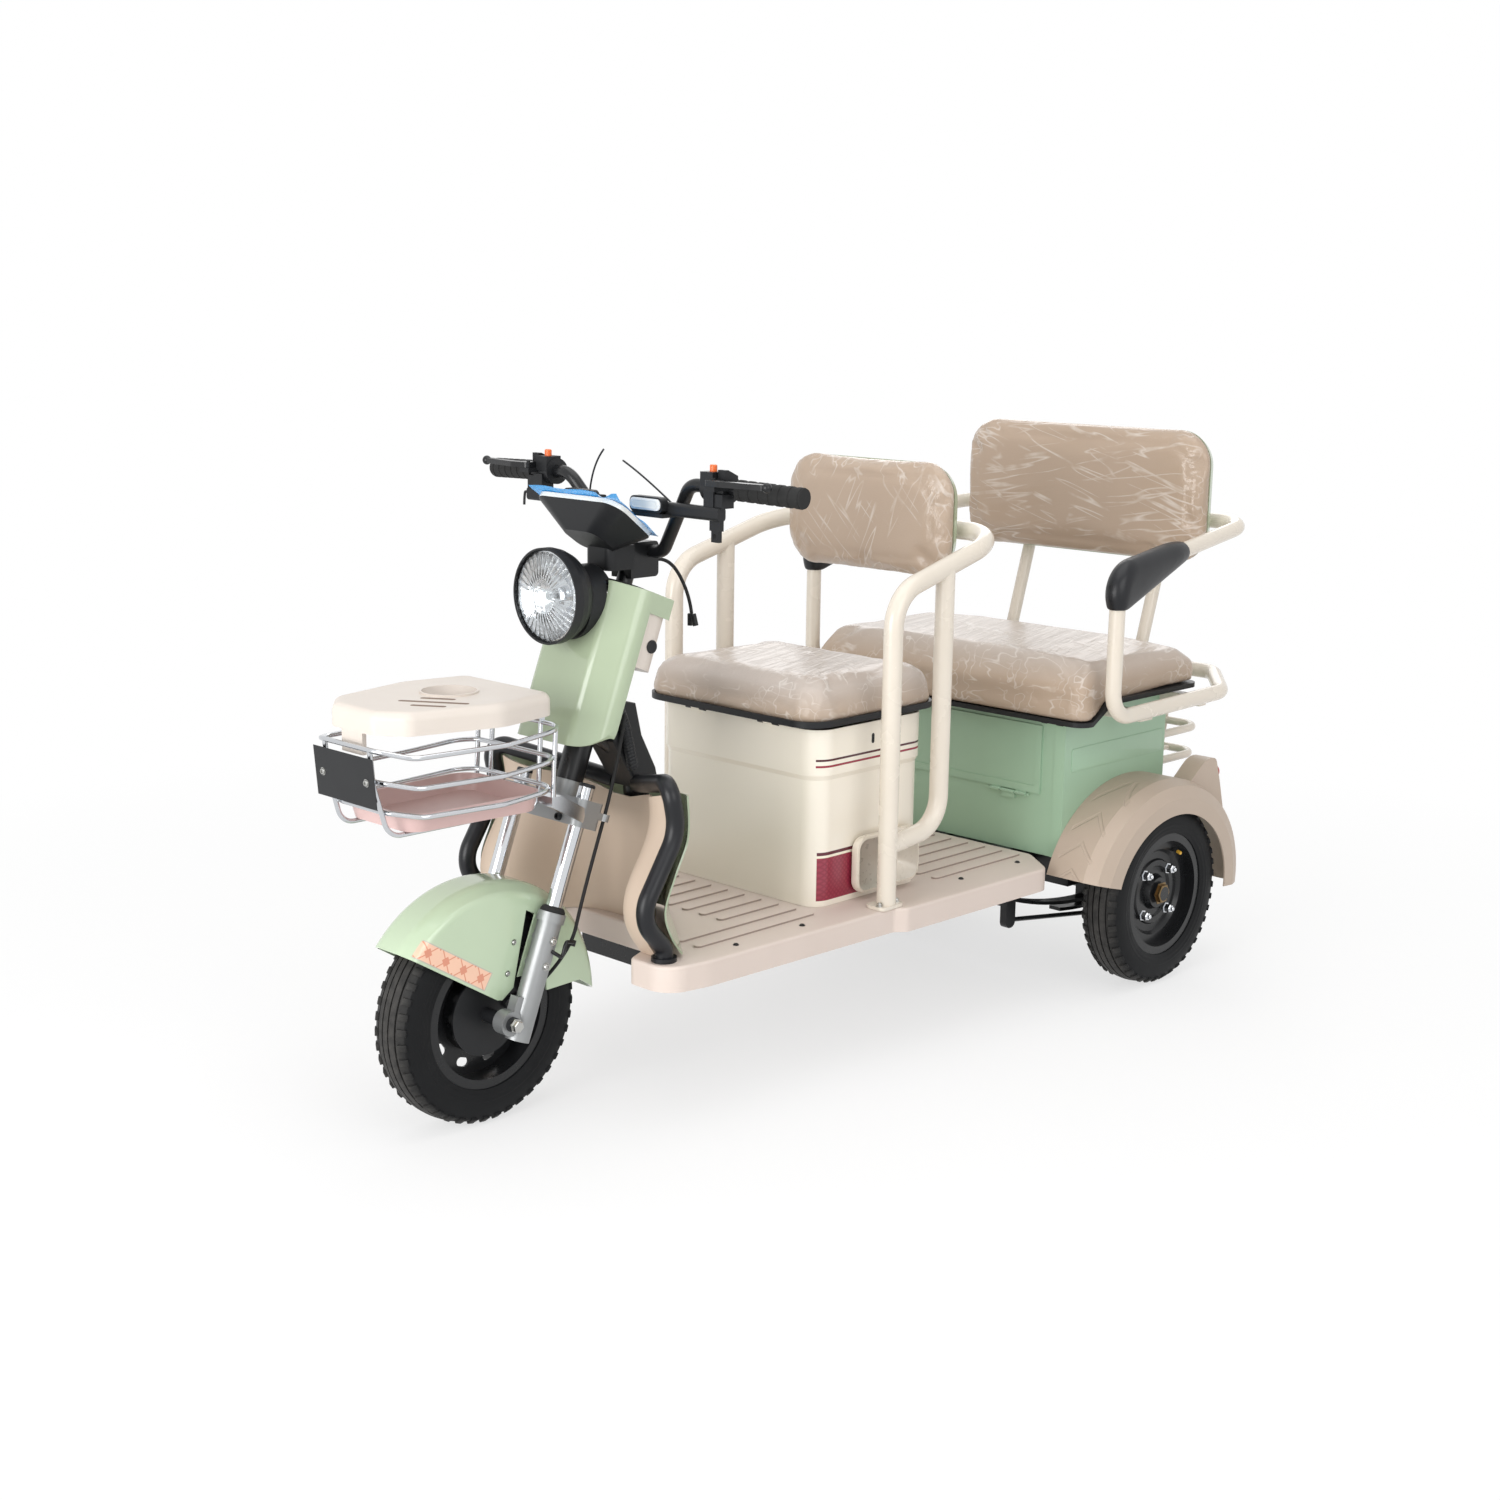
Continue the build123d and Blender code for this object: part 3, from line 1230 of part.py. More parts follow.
def lever_left():
    """Brake lever with a ball end."""
    low = LEVER_PIVOT[2] + GAP
    outline = [(13, 214), (37, 214), (42, 250), (29, 334), (17, 334), (27, 250), (15, 236)]
    blade = extrude(Pos(BAR_X, 0, low) * rounded(outline, [6, 8, 20, 4, 4, 20, 8]), 9)
    blade += Pos(BAR_X + 23, 338, low + 4.5) * Sphere(8)
    return blade - Pos(*LEVER_PIVOT[:2], 1000) * Cylinder(3 + RUN_FIT, 60, align=(MID, MID, MIN))


def grip_left():
    """Rubber grip with end flange and rings."""
    length = (Vector(*BAR_END) - Vector(*BAR_BEND)).length
    grip = bar_rod(GRIP_DIA / 2 - 0.8, 100, length + 4)
    for start in range(100, 216, 19):
        grip += bar_rod(GRIP_DIA / 2, start, start + 9)
    return grip - bar_rod(BAR_DIA / 2 + RUN_FIT, 0, length)


# Front basket


LID_AXIS = (BASKET_REAR + 2, 672)
LID_HINGES = (-44, 44)
LID_BARREL = 18
LID_STAND = 16
LID_DEEP = 36
LID_SOFT = 14
LID_CUP = 43
LID_RING = 3
SLOT_TURN = 124


def basket_loop(z, shrink, sag):
    """Closed wire ring of the basket."""
    rear = BASKET_REAR + shrink * 0.3
    front = BASKET_FRONT - shrink
    wide = 122 - shrink * 0.5
    nose = 98 - shrink * 0.5
    left = [(rear, wide, z), (BASKET_REAR + 122, wide + 6, z - sag)]
    left += [(front - 40, nose + 14, z - sag), (front, nose - 30, z)]
    right = [(x, -y, w) for x, y, w in reversed(left)]
    corner = [44, 60, 30, 30]
    return tube(left + right, corner + corner[::-1], WIRE, close=True)


def front_basket():
    """Wire basket with uprights, floor wires and the flat fork bracket."""
    basket = basket_loop(BASKET_RIM, 0, 10)
    basket += basket_loop(604, 14, 8)
    basket += basket_loop(556, 24, 6)
    for side in (-96, -60, 60, 96):
        basket += tube([(BASKET_REAR, side, BASKET_RIM), (BASKET_REAR + 7, side, 530)], [], WIRE)
    for side in (-60, 60):
        floor = [
            (BASKET_REAR + 7, side, 548),
            (BASKET_REAR + 14, side, BASKET_FLOOR),
            (BASKET_FRONT - 29, side, BASKET_FLOOR),
            (BASKET_FRONT - 5, side * 0.95, 600),
            (BASKET_FRONT, side * 0.95, BASKET_RIM),
        ]
        basket += tube(floor, [14, 30, 60], WIRE)
    rungs = int((BASKET_FRONT - BASKET_REAR - 111) / 80) + 1
    for count in range(rungs):
        x = BASKET_REAR + 82 + 80 * count
        basket += tube([(x, -60, BASKET_FLOOR), (x, 60, BASKET_FLOOR)], [], WIRE - 2)
    basket += block((BASKET_REAR - 8, BASKET_REAR + 12), (-100, 100), (526, 540))
    for side in (-1, 1):
        low, high = sorted((side * 84, side * 100))
        strap = [(-56, 512), (-56, 486), (12, 524), (12, 540), (-8, 540)]
        basket += side_slab([(BASKET_REAR + x, z) for x, z in strap], low, high)
    x, z = LID_AXIS
    for side in LID_HINGES:
        basket += rod_y(x, z, PIN, side - LID_BARREL - 5, side + LID_BARREL + 5)
        for low in (side - LID_BARREL - 5, side + LID_BARREL + 1):
            basket += block((x - 4, x + 4), (low, low + 4), (BASKET_RIM, z + 4))
    return basket - crown_plate(CROWN_LOW - 20, CROWN_HIGH + 20)


def basket_tray():
    """Shallow tray on the basket floor."""
    rear = BASKET_REAR + 28
    front = BASKET_FRONT - 55
    outline = [(rear, -94), (front, -80), (front, 80), (rear, 94)]
    plan = rounded(outline, 30)
    wide = offset(plan, amount=8)
    floor_z = BASKET_FLOOR + WIRE / 2 + GAP
    tray = loft([Pos(0, 0, floor_z) * plan, Pos(0, 0, floor_z + 30) * wide], ruled=True)
    inner = offset(plan, amount=-PLASTIC)
    tray -= loft(
        [Pos(0, 0, floor_z + PLASTIC) * inner, Pos(0, 0, floor_z + 31) * offset(plan, amount=8 - PLASTIC)],
        ruled=True,
    )
    return tray


def lid_section(inset):
    """Plan of the basket lid."""
    left = [(12, 108), (132, 132), (282, 96), (318, 50)]
    right = [(x, -y) for x, y in reversed(left)]
    face = Pos(BASKET_REAR, 0) * rounded(left + right, [26, 70, 30, 20, 20, 30, 70, 26])
    return offset(face, amount=-inset) if inset else face


def lid_solid(inset, low, high, soft):
    """Body of the lid with softly rounded edges."""
    body = extrude(Pos(0, 0, low) * lid_section(inset), high - low)
    return fillet(body.faces().sort_by(Axis.Z)[-1].outer_wire().edges(), soft)


def basket_lid():
    """Moulded lid with cup hole, slots and a hook at the front."""
    low = BASKET_RIM + WIRE / 2 + LID_STAND
    high = low + LID_DEEP
    lid = lid_solid(0, low, high, LID_SOFT)
    lid -= lid_solid(PLASTIC, low - 1, high - PLASTIC, LID_SOFT - PLASTIC)
    cup = BASKET_REAR + 134
    lid += Pos(cup, 0, high - 14) * Cylinder(LID_CUP + LID_RING, 17, align=(MID, MID, MIN))
    lid -= Pos(cup, 0, low - 10) * Cylinder(LID_CUP, 90, align=(MID, MID, MIN))
    for ahead, side, length in ((48, 34, 56), (70, 52, 112), (94, 70, 56)):
        slot = extrude(SlotOverall(length, 5, rotation=SLOT_TURN), 60)
        lid -= Pos(cup + ahead, side, low + 10) * slot
    lid += block((BASKET_FRONT - 17, BASKET_FRONT - 9.5), (-26, 26), (low - LID_STAND - 18, low + 10))
    x, z = LID_AXIS
    for side in LID_HINGES:
        barrel = rod_y(x, z, 5, side - LID_BARREL, side + LID_BARREL)
        barrel += block((x, x + 12.5), (side - LID_BARREL, side + LID_BARREL), (z - 1, low + 9))
        lid += barrel - rod_y(x, z, PIN + RUN_FIT, side - 30, side + 30)
    return lid


# Leads and hose


def wiring_conduit():
    """Ribbed hose from the cowl down behind the neck cover."""
    crest = 10
    side = NECK_HALF + crest + GAP / 2
    path = Spline(*from_head([(-63, side, 672), (-84, side, 640), (-97, side, 600), (-109, side, 548)]))
    ribs = 22
    faces = []
    for count in range(2 * ribs + 1):
        at = count / (2 * ribs)
        plane = Plane(path @ at, z_dir=path % at)
        radius = crest if count % 2 else crest - 2
        faces.append(plane * Circle(radius) - plane * Circle(crest - 4))
    return loft(faces, ruled=True)


def spare_lead():
    """Loose lead hanging behind the column."""
    start = CLAMP_BACK - 0.3
    route = [(start, 20, 886), (start - 30, 20, 886), (start - 56, 40, 826), (start - 57, 45, 792)]
    return tube(route, [26, 30], 6)


NODES = {
    "main_frame": main_frame,
    "floor_board": floor_board,
    "leg_shield_front": leg_shield_front,
    "leg_shield_back": leg_shield_back,
    "guard_tubes": guard_tubes,
    "neck_cover": neck_cover,
    "front_cowl": front_cowl,
    "cowl_back": cowl_back,
    "stem_boot": stem_boot,
    "headlight_shell": headlight_shell,
    "headlight_reflector": headlight_reflector,
    "headlight_lens": headlight_lens,
    "wiring_conduit": wiring_conduit,
    "driver_box": driver_box,
    "driver_arm_frame": driver_arm_frame,
    "driver_backrest_shell": driver_backrest_shell,
    "driver_backrest_pad": driver_backrest_pad,
    "driver_seat_pan": driver_seat_pan,
    "driver_seat_pad": driver_seat_pad,
    "battery_pack": battery_pack,
    "rear_box": rear_box,
    "rear_box_door": rear_box_door,
    "rear_seat_pan": rear_seat_pan,
    "rear_seat_pad": rear_seat_pad,
    "rear_arm_frame": rear_arm_frame,
    "armrest_pads": armrest_pads,
    "rear_backrest_shell": rear_backrest_shell,
    "rear_backrest_pad": rear_backrest_pad,
    "rear_basket": rear_basket,
    "rear_mudguards": rear_mudguards,
    "tail_lamps": tail_lamps,
    "rear_axle": rear_axle,
    "drive_motor": drive_motor,
    "rear_left_tyre": lambda: Pos(0, HALF_TRACK, TYRE_RADIUS) * tyre(),
    "rear_left_rim": lambda: Pos(0, HALF_TRACK, TYRE_RADIUS) * rear_rim(),
    "rear_right_tyre": lambda: Pos(0, -HALF_TRACK, TYRE_RADIUS) * tyre(),
    "rear_right_rim": lambda: mirror(Pos(0, HALF_TRACK, TYRE_RADIUS) * rear_rim(), about=Plane.XZ),
    "fork_crown": fork_crown,
    "fork_stanchions": fork_stanchions,
    "fork_sliders": fork_sliders,
    "front_axle": front_axle,
    "front_fender": front_fender,
    "front_tyre": lambda: Pos(*FRONT_AXLE) * tyre(),
    "front_rim": lambda: Pos(*FRONT_AXLE) * front_rim(),
    "brake_cable": brake_cable,
    "handlebar": handlebar,
    "dash_housing": dash_housing,
    "dash_panel": dash_panel,
    "indicator_lamps": indicator_lamps,
    "control_pods": control_pods,
    "grip_left": grip_left,
    "throttle_grip": lambda: mirror(grip_left(), about=Plane.XZ),
    "brake_lever_left": lever_left,
    "brake_lever_right": lambda: mirror(lever_left(), about=Plane.XZ),
    "button_left": button_left,
    "button_right": lambda: mirror(button_left(), about=Plane.XZ),
    "front_basket": front_basket,
    "basket_tray": basket_tray,
    "basket_lid": basket_lid,
    "spare_lead": spare_lead,
}

os.makedirs("parts", exist_ok=True)
for name, make in NODES.items():
    export_step(Pos(-ORIGIN_X, 0, 0) * make(), f"parts/{name}.step")
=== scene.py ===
"""Studio picture of an electric cargo tricycle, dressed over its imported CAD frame."""

import logging
import math
from dataclasses import dataclass
from enum import Enum
from typing import Callable, Optional, Sequence, Union

import bpy
from mathutils import Matrix, Vector


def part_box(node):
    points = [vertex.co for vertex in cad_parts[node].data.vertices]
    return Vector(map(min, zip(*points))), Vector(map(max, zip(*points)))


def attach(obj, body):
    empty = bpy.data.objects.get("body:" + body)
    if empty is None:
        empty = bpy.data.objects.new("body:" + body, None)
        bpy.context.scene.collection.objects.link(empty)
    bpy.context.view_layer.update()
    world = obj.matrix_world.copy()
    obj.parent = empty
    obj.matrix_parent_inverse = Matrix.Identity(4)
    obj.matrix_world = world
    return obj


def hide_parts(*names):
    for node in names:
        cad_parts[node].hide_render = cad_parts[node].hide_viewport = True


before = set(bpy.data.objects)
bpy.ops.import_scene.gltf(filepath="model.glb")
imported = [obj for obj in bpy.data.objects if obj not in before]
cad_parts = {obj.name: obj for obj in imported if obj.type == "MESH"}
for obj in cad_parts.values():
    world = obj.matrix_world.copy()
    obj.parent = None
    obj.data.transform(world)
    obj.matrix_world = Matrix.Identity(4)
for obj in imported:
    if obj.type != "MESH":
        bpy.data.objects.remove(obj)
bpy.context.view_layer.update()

LOG = logging.getLogger("tricycle")

Thing = bpy.types.Object
Socket = bpy.types.NodeSocket
Tree = bpy.types.NodeTree
Paint = Union[Socket, str]
Pair = tuple[float, float]
Triple = tuple[float, float, float]
Profile = tuple[Pair, ...]
Sizes = tuple[float, ...]
Route = tuple[Triple, ...]

# Sizes are written in millimetres, and Blender counts in metres.
METRE = 1000.0
AHEAD = Vector((1.0, 0.0, 0.0))
LEFT = Vector((0.0, 1.0, 0.0))
UP = Vector((0.0, 0.0, 1.0))
SIDES = (-1.0, 1.0)
WHITE = (1.0, 1.0, 1.0, 1.0)

# The drawing counts X from the rear axle; the part's frame starts mid-length.
ORIGIN_X = 673.0
# The steering axis leans back by the rake and is measured up from its foot, at this X and Z.
RAKE = math.radians(21.0)
STEER_FOOT = (1217.0, 509.0)
FORK_AXIS = Vector((-math.sin(RAKE), 0.0, math.cos(RAKE)))

# Sockets by which a Mix node takes and gives colours.
MIX_BASE, MIX_LAYER, MIX_COLOUR = 6, 7, 2


def spot(x: float, y: float, z: float) -> Vector:
    """Turns drawing millimetres, ahead of the rear axle, left and up, into a point in metres."""
    return Vector((x - ORIGIN_X, y, z)) / METRE


def fork_spot(ahead: float, side: float, along: float) -> Vector:
    """Turns a point measured on the raked steering axis into the part's frame.

    Args:
        ahead: Millimetres ahead of the axis.
        side: Millimetres to the rider's left.
        along: Millimetres up the axis from its foot.

    Returns:
        The point in metres.
    """
    x = STEER_FOOT[0] + ahead * math.cos(RAKE) - along * math.sin(RAKE)
    z = STEER_FOOT[1] + ahead * math.sin(RAKE) + along * math.cos(RAKE)
    return spot(x, side, z)


def linear(code: str) -> tuple[float, float, float, float]:
    """Turns an sRGB hex code into a linear colour.

    Args:
        code: Text such as "#b9cdab".

    Returns:
        Red, green, blue and alpha.
    """
    values = [int(code[i : i + 2], 16) / 255.0 for i in (1, 3, 5)]
    tone = [v / 12.92 if v <= 0.04045 else ((v + 0.055) / 1.055) ** 2.4 for v in values]
    return (tone[0], tone[1], tone[2], 1.0)


def add_node(
    tree: Tree,
    kind: str,
    *values: object,
    named: Optional[dict] = None,
    out: Union[int, str] = 0,
    **settings: object,
) -> Optional[Socket]:
    """Adds a shader node with its settings and links.

    Args:
        tree: The node tree.
        kind: The node's type name, without its prefix.
        *values: What its first inputs take: a number, a hex colour, the socket that feeds
            one, or None to leave one as it is.
        named: The same for inputs by name or number.
        out: Name or number of the output that is wanted.
        **settings: Properties of the node.

    Returns:
        That output, or None for a node that has no outputs.
    """
    node = tree.nodes.new("ShaderNode" + kind)
    for name, value in settings.items():
        setattr(node, name, value)
    inputs = dict(enumerate(values))
    inputs.update(named or {})
    for name, value in inputs.items():
        if isinstance(value, Socket):
            tree.links.new(value, node.inputs[name])
        elif value is not None:
            node.inputs[name].default_value = linear(value) if isinstance(value, str) else value
    return node.outputs[out] if node.outputs else None


class Pattern(Enum):
    """Relief that a surface keeps from the way it was made."""

    GRAIN = "fine spark-eroded grain of a mould"
    PEEL = "soft orange peel of sprayed paint"
    BRUSHED = "fine drawn lines"
    CAST = "sand-cast pitting"


@dataclass(frozen=True)
class Finish:
    """A surface: its tones, gloss and relief.

    Sizes of patterns are in millimetres, limits on the object are in metres, and patterns
    read Object coordinates.
    """

    name: str
    colour: str
    shade: str
    roughness: float
    spread: float = 0.08
    metallic: float = 0.0
    ior: float = 1.5
    coat: float = 0.0
    specular: float = 0.5
    alpha: float = 1.0
    drift: float = 160.0
    grain: float = 2.0
    relief: float = 0.05
    pattern: Pattern = Pattern.GRAIN
    mark_share: float = 0.35
    mark_range: Pair = (0.3, 0.7)
    drawn_out: Triple = (0.06, 1.0, 1.0)

    def paint(self, tree: Tree, base: Paint, *layers: tuple[Socket, Paint]) -> Socket:
        """Lays colours over one another.

        Args:
            tree: The material's node tree.
            base: Hex code or socket of what lies underneath.
            *layers: Mask of each layer, and its hex code or socket.

        Returns:
            The painted colour.
        """
        for mask, colour in layers:
            ends = {MIX_BASE: base, MIX_LAYER: colour}
            base = add_node(tree, "Mix", mask, named=ends, out=MIX_COLOUR, data_type="RGBA")
        return base

    def all_of(self, tree: Tree, *masks: Socket) -> Socket:
        """Multiplies masks, so that the result is 1 where all of them are.

        Args:
            tree: The material's node tree.
            *masks: The masks.

        Returns:
            The common mask.
        """
        common = masks[0]
        for mask in masks[1:]:
            common = add_node(tree, "Math", common, mask, operation="MULTIPLY")
        return common

    def band(self, tree: Tree, value: Socket, low: float, high: float, soft: float = 0.0004) -> Socket:
        """Mask that is 1 while a value lies between two limits.

        Args:
            tree: The material's node tree.
            value: What is tested.
            low: Lower limit.
            high: Upper limit.
            soft: Width of the edge.

        Returns:
            The mask.
        """
        rise = add_node(tree, "MapRange", value, low - soft, low)
        fall = add_node(tree, "MapRange", value, high + soft, high)
        return self.all_of(tree, rise, fall)

    def tone(self, tree: Tree, place: Socket) -> Socket:
        """Colour that drifts slowly between two close tones."""
        drift = {"Vector": place, "Scale": METRE / self.drift, "Detail": 3.0}
        return self.paint(tree, self.colour, (add_node(tree, "TexNoise", named=drift), self.shade))

    def gloss(self, tree: Tree, place: Socket) -> Socket:
        """Roughness with faint handling marks.

        Args:
            tree: The material's node tree.
            place: Coordinates to read.

        Returns:
            The roughness.
        """
        size = self.drift * self.mark_share
        marks = add_node(tree, "TexNoise", named={"Vector": place, "Scale": METRE / size, "Detail": 5.0})
        low, high = self.roughness - self.spread / 2, self.roughness + self.spread / 2
        return add_node(tree, "MapRange", marks, *self.mark_range, low, high)

    def height(self, tree: Tree, place: Socket) -> Socket:
        """Relief of the pattern, from 0 to 1.

        Args:
            tree: The material's node tree.
            place: Coordinates to read.

        Returns:
            The relief.
        """
        scale = METRE / self.grain
        if self.pattern is Pattern.CAST:
            return add_node(tree, "TexVoronoi", named={"Vector": place, "Scale": scale}, out="Distance")
        if self.pattern is Pattern.BRUSHED:
            place = add_node(tree, "Mapping", place, None, None, self.drawn_out)
        detail = 1.0 if self.pattern is Pattern.PEEL else 4.0
        return add_node(tree, "TexNoise", named={"Vector": place, "Scale": scale, "Detail": detail})

    def normal(self, tree: Tree, place: Socket) -> Socket:
        """Bumped surface direction."""
        bump = {"Height": self.height(tree, place), "Distance": self.relief / METRE, "Strength": 1.0}
        return add_node(tree, "Bump", named=bump)

    def extras(self, tree: Tree, place: Socket) -> dict:
        """More sockets of the shader."""
        return {}

    def build(self) -> bpy.types.Material:
        """Makes the material, or finds the one made before.

        Returns:
            The material.
        """
        found = bpy.data.materials.get(self.name)
        if found:
            return found
        material = bpy.data.materials.new(self.name)
        material.use_nodes = True
        tree = material.node_tree
        tree.nodes.clear()
        place = add_node(tree, "TexCoord", out="Object")
        sockets = {
            "Base Color": self.tone(tree, place),
            "Roughness": self.gloss(tree, place),
            "Normal": self.normal(tree, place),
            "Metallic": self.metallic,
            "IOR": self.ior,
            "Coat Weight": self.coat,
            "Specular IOR Level": self.specular,
            "Alpha": self.alpha,
        }
        sockets.update(self.extras(tree, place))
        add_node(tree, "OutputMaterial", add_node(tree, "BsdfPrincipled", named=sockets))
        return material


@dataclass(frozen=True)
class SeatBoxPlastic(Finish):
    """Cream moulding with a printed foil band and stripes on its left side."""

    foil: str = "#a2364b"
    foil_dark: str = "#872a3e"
    foil_z: Pair = (0.2840, 0.361)
    hatch: float = 0.005
    left_side: Pair = (0.187, 0.2012)
    stripes: tuple[tuple[float, float, str], ...] = (
        (0.361, 0.3650, "#f4ecd8"),
        (0.3655, 0.3710, "#5d2430"),
        (0.5235, 0.5270, "#952c3e"),
        (0.5345, 0.5380, "#4b1f28"),
    )

    def tone(self, tree: Tree, place: Socket) -> Socket:
        """Cream, with stripes and the cross-hatched foil on the left side.

        Args:
            tree: The material's node tree.
            place: Coordinates to read.

        Returns:
            The colour.
        """
        axes = add_node(tree, "SeparateXYZ", place).node.outputs
        side = self.band(tree, axes[1], *self.left_side)
        lines = []
        for turn in (1.0, -1.0):
            rise = add_node(tree, "Math", axes[1], turn, axes[2], operation="MULTIPLY_ADD")
            run = add_node(tree, "Math", axes[0], turn, rise, operation="MULTIPLY_ADD")
            lines.append(add_node(tree, "Math", run, self.hatch, operation="PINGPONG"))
        nearest = add_node(tree, "Math", *lines, operation="MINIMUM")
        weave = add_node(tree, "Math", nearest, 1.0 / self.hatch, operation="MULTIPLY")
        foil = self.paint(tree, self.foil_dark, (weave, self.foil))
        colour = Finish.tone(self, tree, place)
        for low, high, ink in ((*self.foil_z, foil), *self.stripes):
            level = self.band(tree, axes[2], low, high)
            colour = self.paint(tree, colour, (self.all_of(tree, level, side), ink))
        return colour


@dataclass(frozen=True)
class MudguardPlastic(Finish):
    """Tan polypropylene with pressed slanting grooves over the crown."""

    ridge: float = 0.330
    slant: float = 0.8
    pitch: float = 0.024
    groove: Pair = (0.0212, 0.03)
    across: Pair = (-0.01, 0.034)
    along: Pair = (-0.62, -0.36)
    depth: float = -12.0

    def height(self, tree: Tree, place: Socket) -> Socket:
        """Grain with chevron grooves that slant from a ridge line.

        Args:
            tree: The material's node tree.
            place: Coordinates to read.

        Returns:
            The relief.
        """
        axes = add_node(tree, "SeparateXYZ", place).node.outputs
        side = add_node(tree, "Math", axes[1], operation="ABSOLUTE")
        off = add_node(tree, "Math", side, self.ridge, operation="SUBTRACT")
        away = add_node(tree, "Math", off, operation="ABSOLUTE")
        slanted = add_node(tree, "Math", away, self.slant, operation="MULTIPLY")
        run = add_node(tree, "Math", slanted, axes[2], operation="ADD")
        wave = add_node(tree, "Math", run, self.pitch, operation="PINGPONG")
        cut = self.all_of(
            tree,
            self.band(tree, wave, *self.groove, soft=0.0016),
            self.band(tree, away, *self.across, soft=0.004),
            self.band(tree, axes[0], *self.along, soft=0.01),
        )
        grain = Finish.height(self, tree, place)
        return add_node(tree, "Math", cut, self.depth, grain, operation="MULTIPLY_ADD")


@dataclass(frozen=True)
class FloorPlastic(Finish):
    """Tan polypropylene floor with painted shade on the low walls of its ribs."""

    # Colour of the painted shade on the low walls of the ribs.
    dust_and_shade: str = "#75675d"
    dust_and_shade_most: float = 0.75
    step: Pair = (0.2736, 0.2762)

    def tone(self, tree: Tree, place: Socket) -> Socket:
        """Tan, with painted shade darkening the low walls of the ribs.

        Args:
            tree: The material's node tree.
            place: Coordinates to read.

        Returns:
            The colour.
        """
        # Painted shade: the low walls of the ribs are darkened in colour, not by light.
        wall = self.band(tree, add_node(tree, "SeparateXYZ", place, out=2), *self.step, soft=0.0003)
        painted_shade_amount = add_node(tree, "Math", wall, self.dust_and_shade_most, operation="MULTIPLY")
        return self.paint(tree, Finish.tone(self, tree, place), (painted_shade_amount, self.dust_and_shade))


@dataclass(frozen=True)
class Leatherette(Finish):
    """Pebbled vinyl under a clear crinkled film: short creases catch the light, and are painted pale as
    highlights.
    """

    streak: float = 24.0
    stretch: float = 10.0
    upright: bool = False
    leans: Pair = (0.3, 1.2)
    patches: Pair = (90.0, 70.0)
    patch_range: Pair = (0.46, 0.62)
    crease_highlight: str = "#efeae4"
    crease_highlight_most: float = 0.4
    crease_half: float = 0.028
    haze_and_reflection: str = "#c4bfbc"
    haze_and_reflection_most: float = 0.5
    haze_and_reflection_z: Pair = (0.612, 0.660)
    film_wave: float = 0.8
    film_fold: float = 0.3
    film_depth: float = 0.005

    def along(self, tree: Tree, place: Socket, lean: float) -> Socket:
        """Coordinates drawn out along a line in the plane of the cushion's face.

        Args:
            tree: The material's node tree.
            place: Coordinates to read.
            lean: Turn of the line in radians.

        Returns:
            The stretched coordinates.
        """
        turn = (lean, 0.0, 0.0) if self.upright else (0.0, 0.0, lean)
        pull = (1.0, self.stretch, 1.0) if self.upright else (self.stretch, 1.0, 1.0)
        return add_node(tree, "Mapping", place, None, turn, pull, vector_type="TEXTURE")

    def folds(self, tree: Tree, place: Socket) -> Socket:
        """Long thin creases of the film in two directions, 1 on a crease.

        Args:
            tree: The material's node tree.
            place: Coordinates to read.

        Returns:
            The mask of the creases.
        """
        lines = []
        for lean, patch in zip(self.leans, self.patches):
            drawn = {"Vector": self.along(tree, place, lean), "Scale": METRE / self.streak, "Detail": 1.0}
            off = add_node(tree, "Math", add_node(tree, "TexNoise", named=drawn), 0.5, operation="SUBTRACT")
            ridge = add_node(tree, "Math", off, operation="ABSOLUTE")
            thin = add_node(tree, "MapRange", ridge, self.crease_half, 0.0)
            loose = {"Vector": place, "Scale": METRE / patch, "Detail": 3.0}
            shown = add_node(tree, "MapRange", add_node(tree, "TexNoise", named=loose), *self.patch_range)
            lines.append(self.all_of(tree, thin, shown))
        return add_node(tree, "Math", *lines, operation="MAXIMUM")

    def tone(self, tree: Tree, place: Socket) -> Socket:
        """Tan vinyl, milky with film haze and a painted reflection towards the top of a seat, and painted
        pale on the creases as highlights.

        Args:
            tree: The material's node tree.
            place: Coordinates to read.

        Returns:
            The colour.
        """
        vinyl = Finish.tone(self, tree, place)
        if not self.upright:
            # Milky film haze and a painted reflection, stronger towards the top of the seat.
            level = add_node(tree, "SeparateXYZ", place, out=2)
            milky = add_node(tree, "MapRange", level, *self.haze_and_reflection_z, None, self.haze_and_reflection_most)
            vinyl = self.paint(tree, vinyl, (milky, self.haze_and_reflection))
        # Painted highlights: the creases are painted pale.
        pale = add_node(tree, "Math", self.folds(tree, place), self.crease_highlight_most, operation="MULTIPLY")
        return self.paint(tree, vinyl, (pale, self.crease_highlight))

    def height(self, tree: Tree, place: Socket) -> Socket:
        """Pebble grain of about two millimetres."""
        pebbles = {"Vector": place, "Scale": METRE / self.grain}
        return add_node(tree, "TexVoronoi", named=pebbles, out="Distance")

    def extras(self, tree: Tree, place: Socket) -> dict:
        """Film as a clear coat with its own creased surface.

        Args:
            tree: The material's node tree.
            place: Coordinates to read.

        Returns:
            The coat's sockets by name.
        """
        drawn = self.along(tree, place, self.leans[0])
        scale = METRE / (self.streak * self.film_wave)
        wave = add_node(tree, "TexNoise", named={"Vector": drawn, "Scale": scale, "Detail": 3.0})
        folds = self.folds(tree, place)
        lumps = add_node(tree, "Math", folds, self.film_fold, wave, operation="MULTIPLY_ADD")
        film = add_node(tree, "Bump", named={"Height": lumps, "Distance": self.film_depth, "Strength": 0.9})
        return {"Coat Normal": film, "Coat Roughness": 0.16}


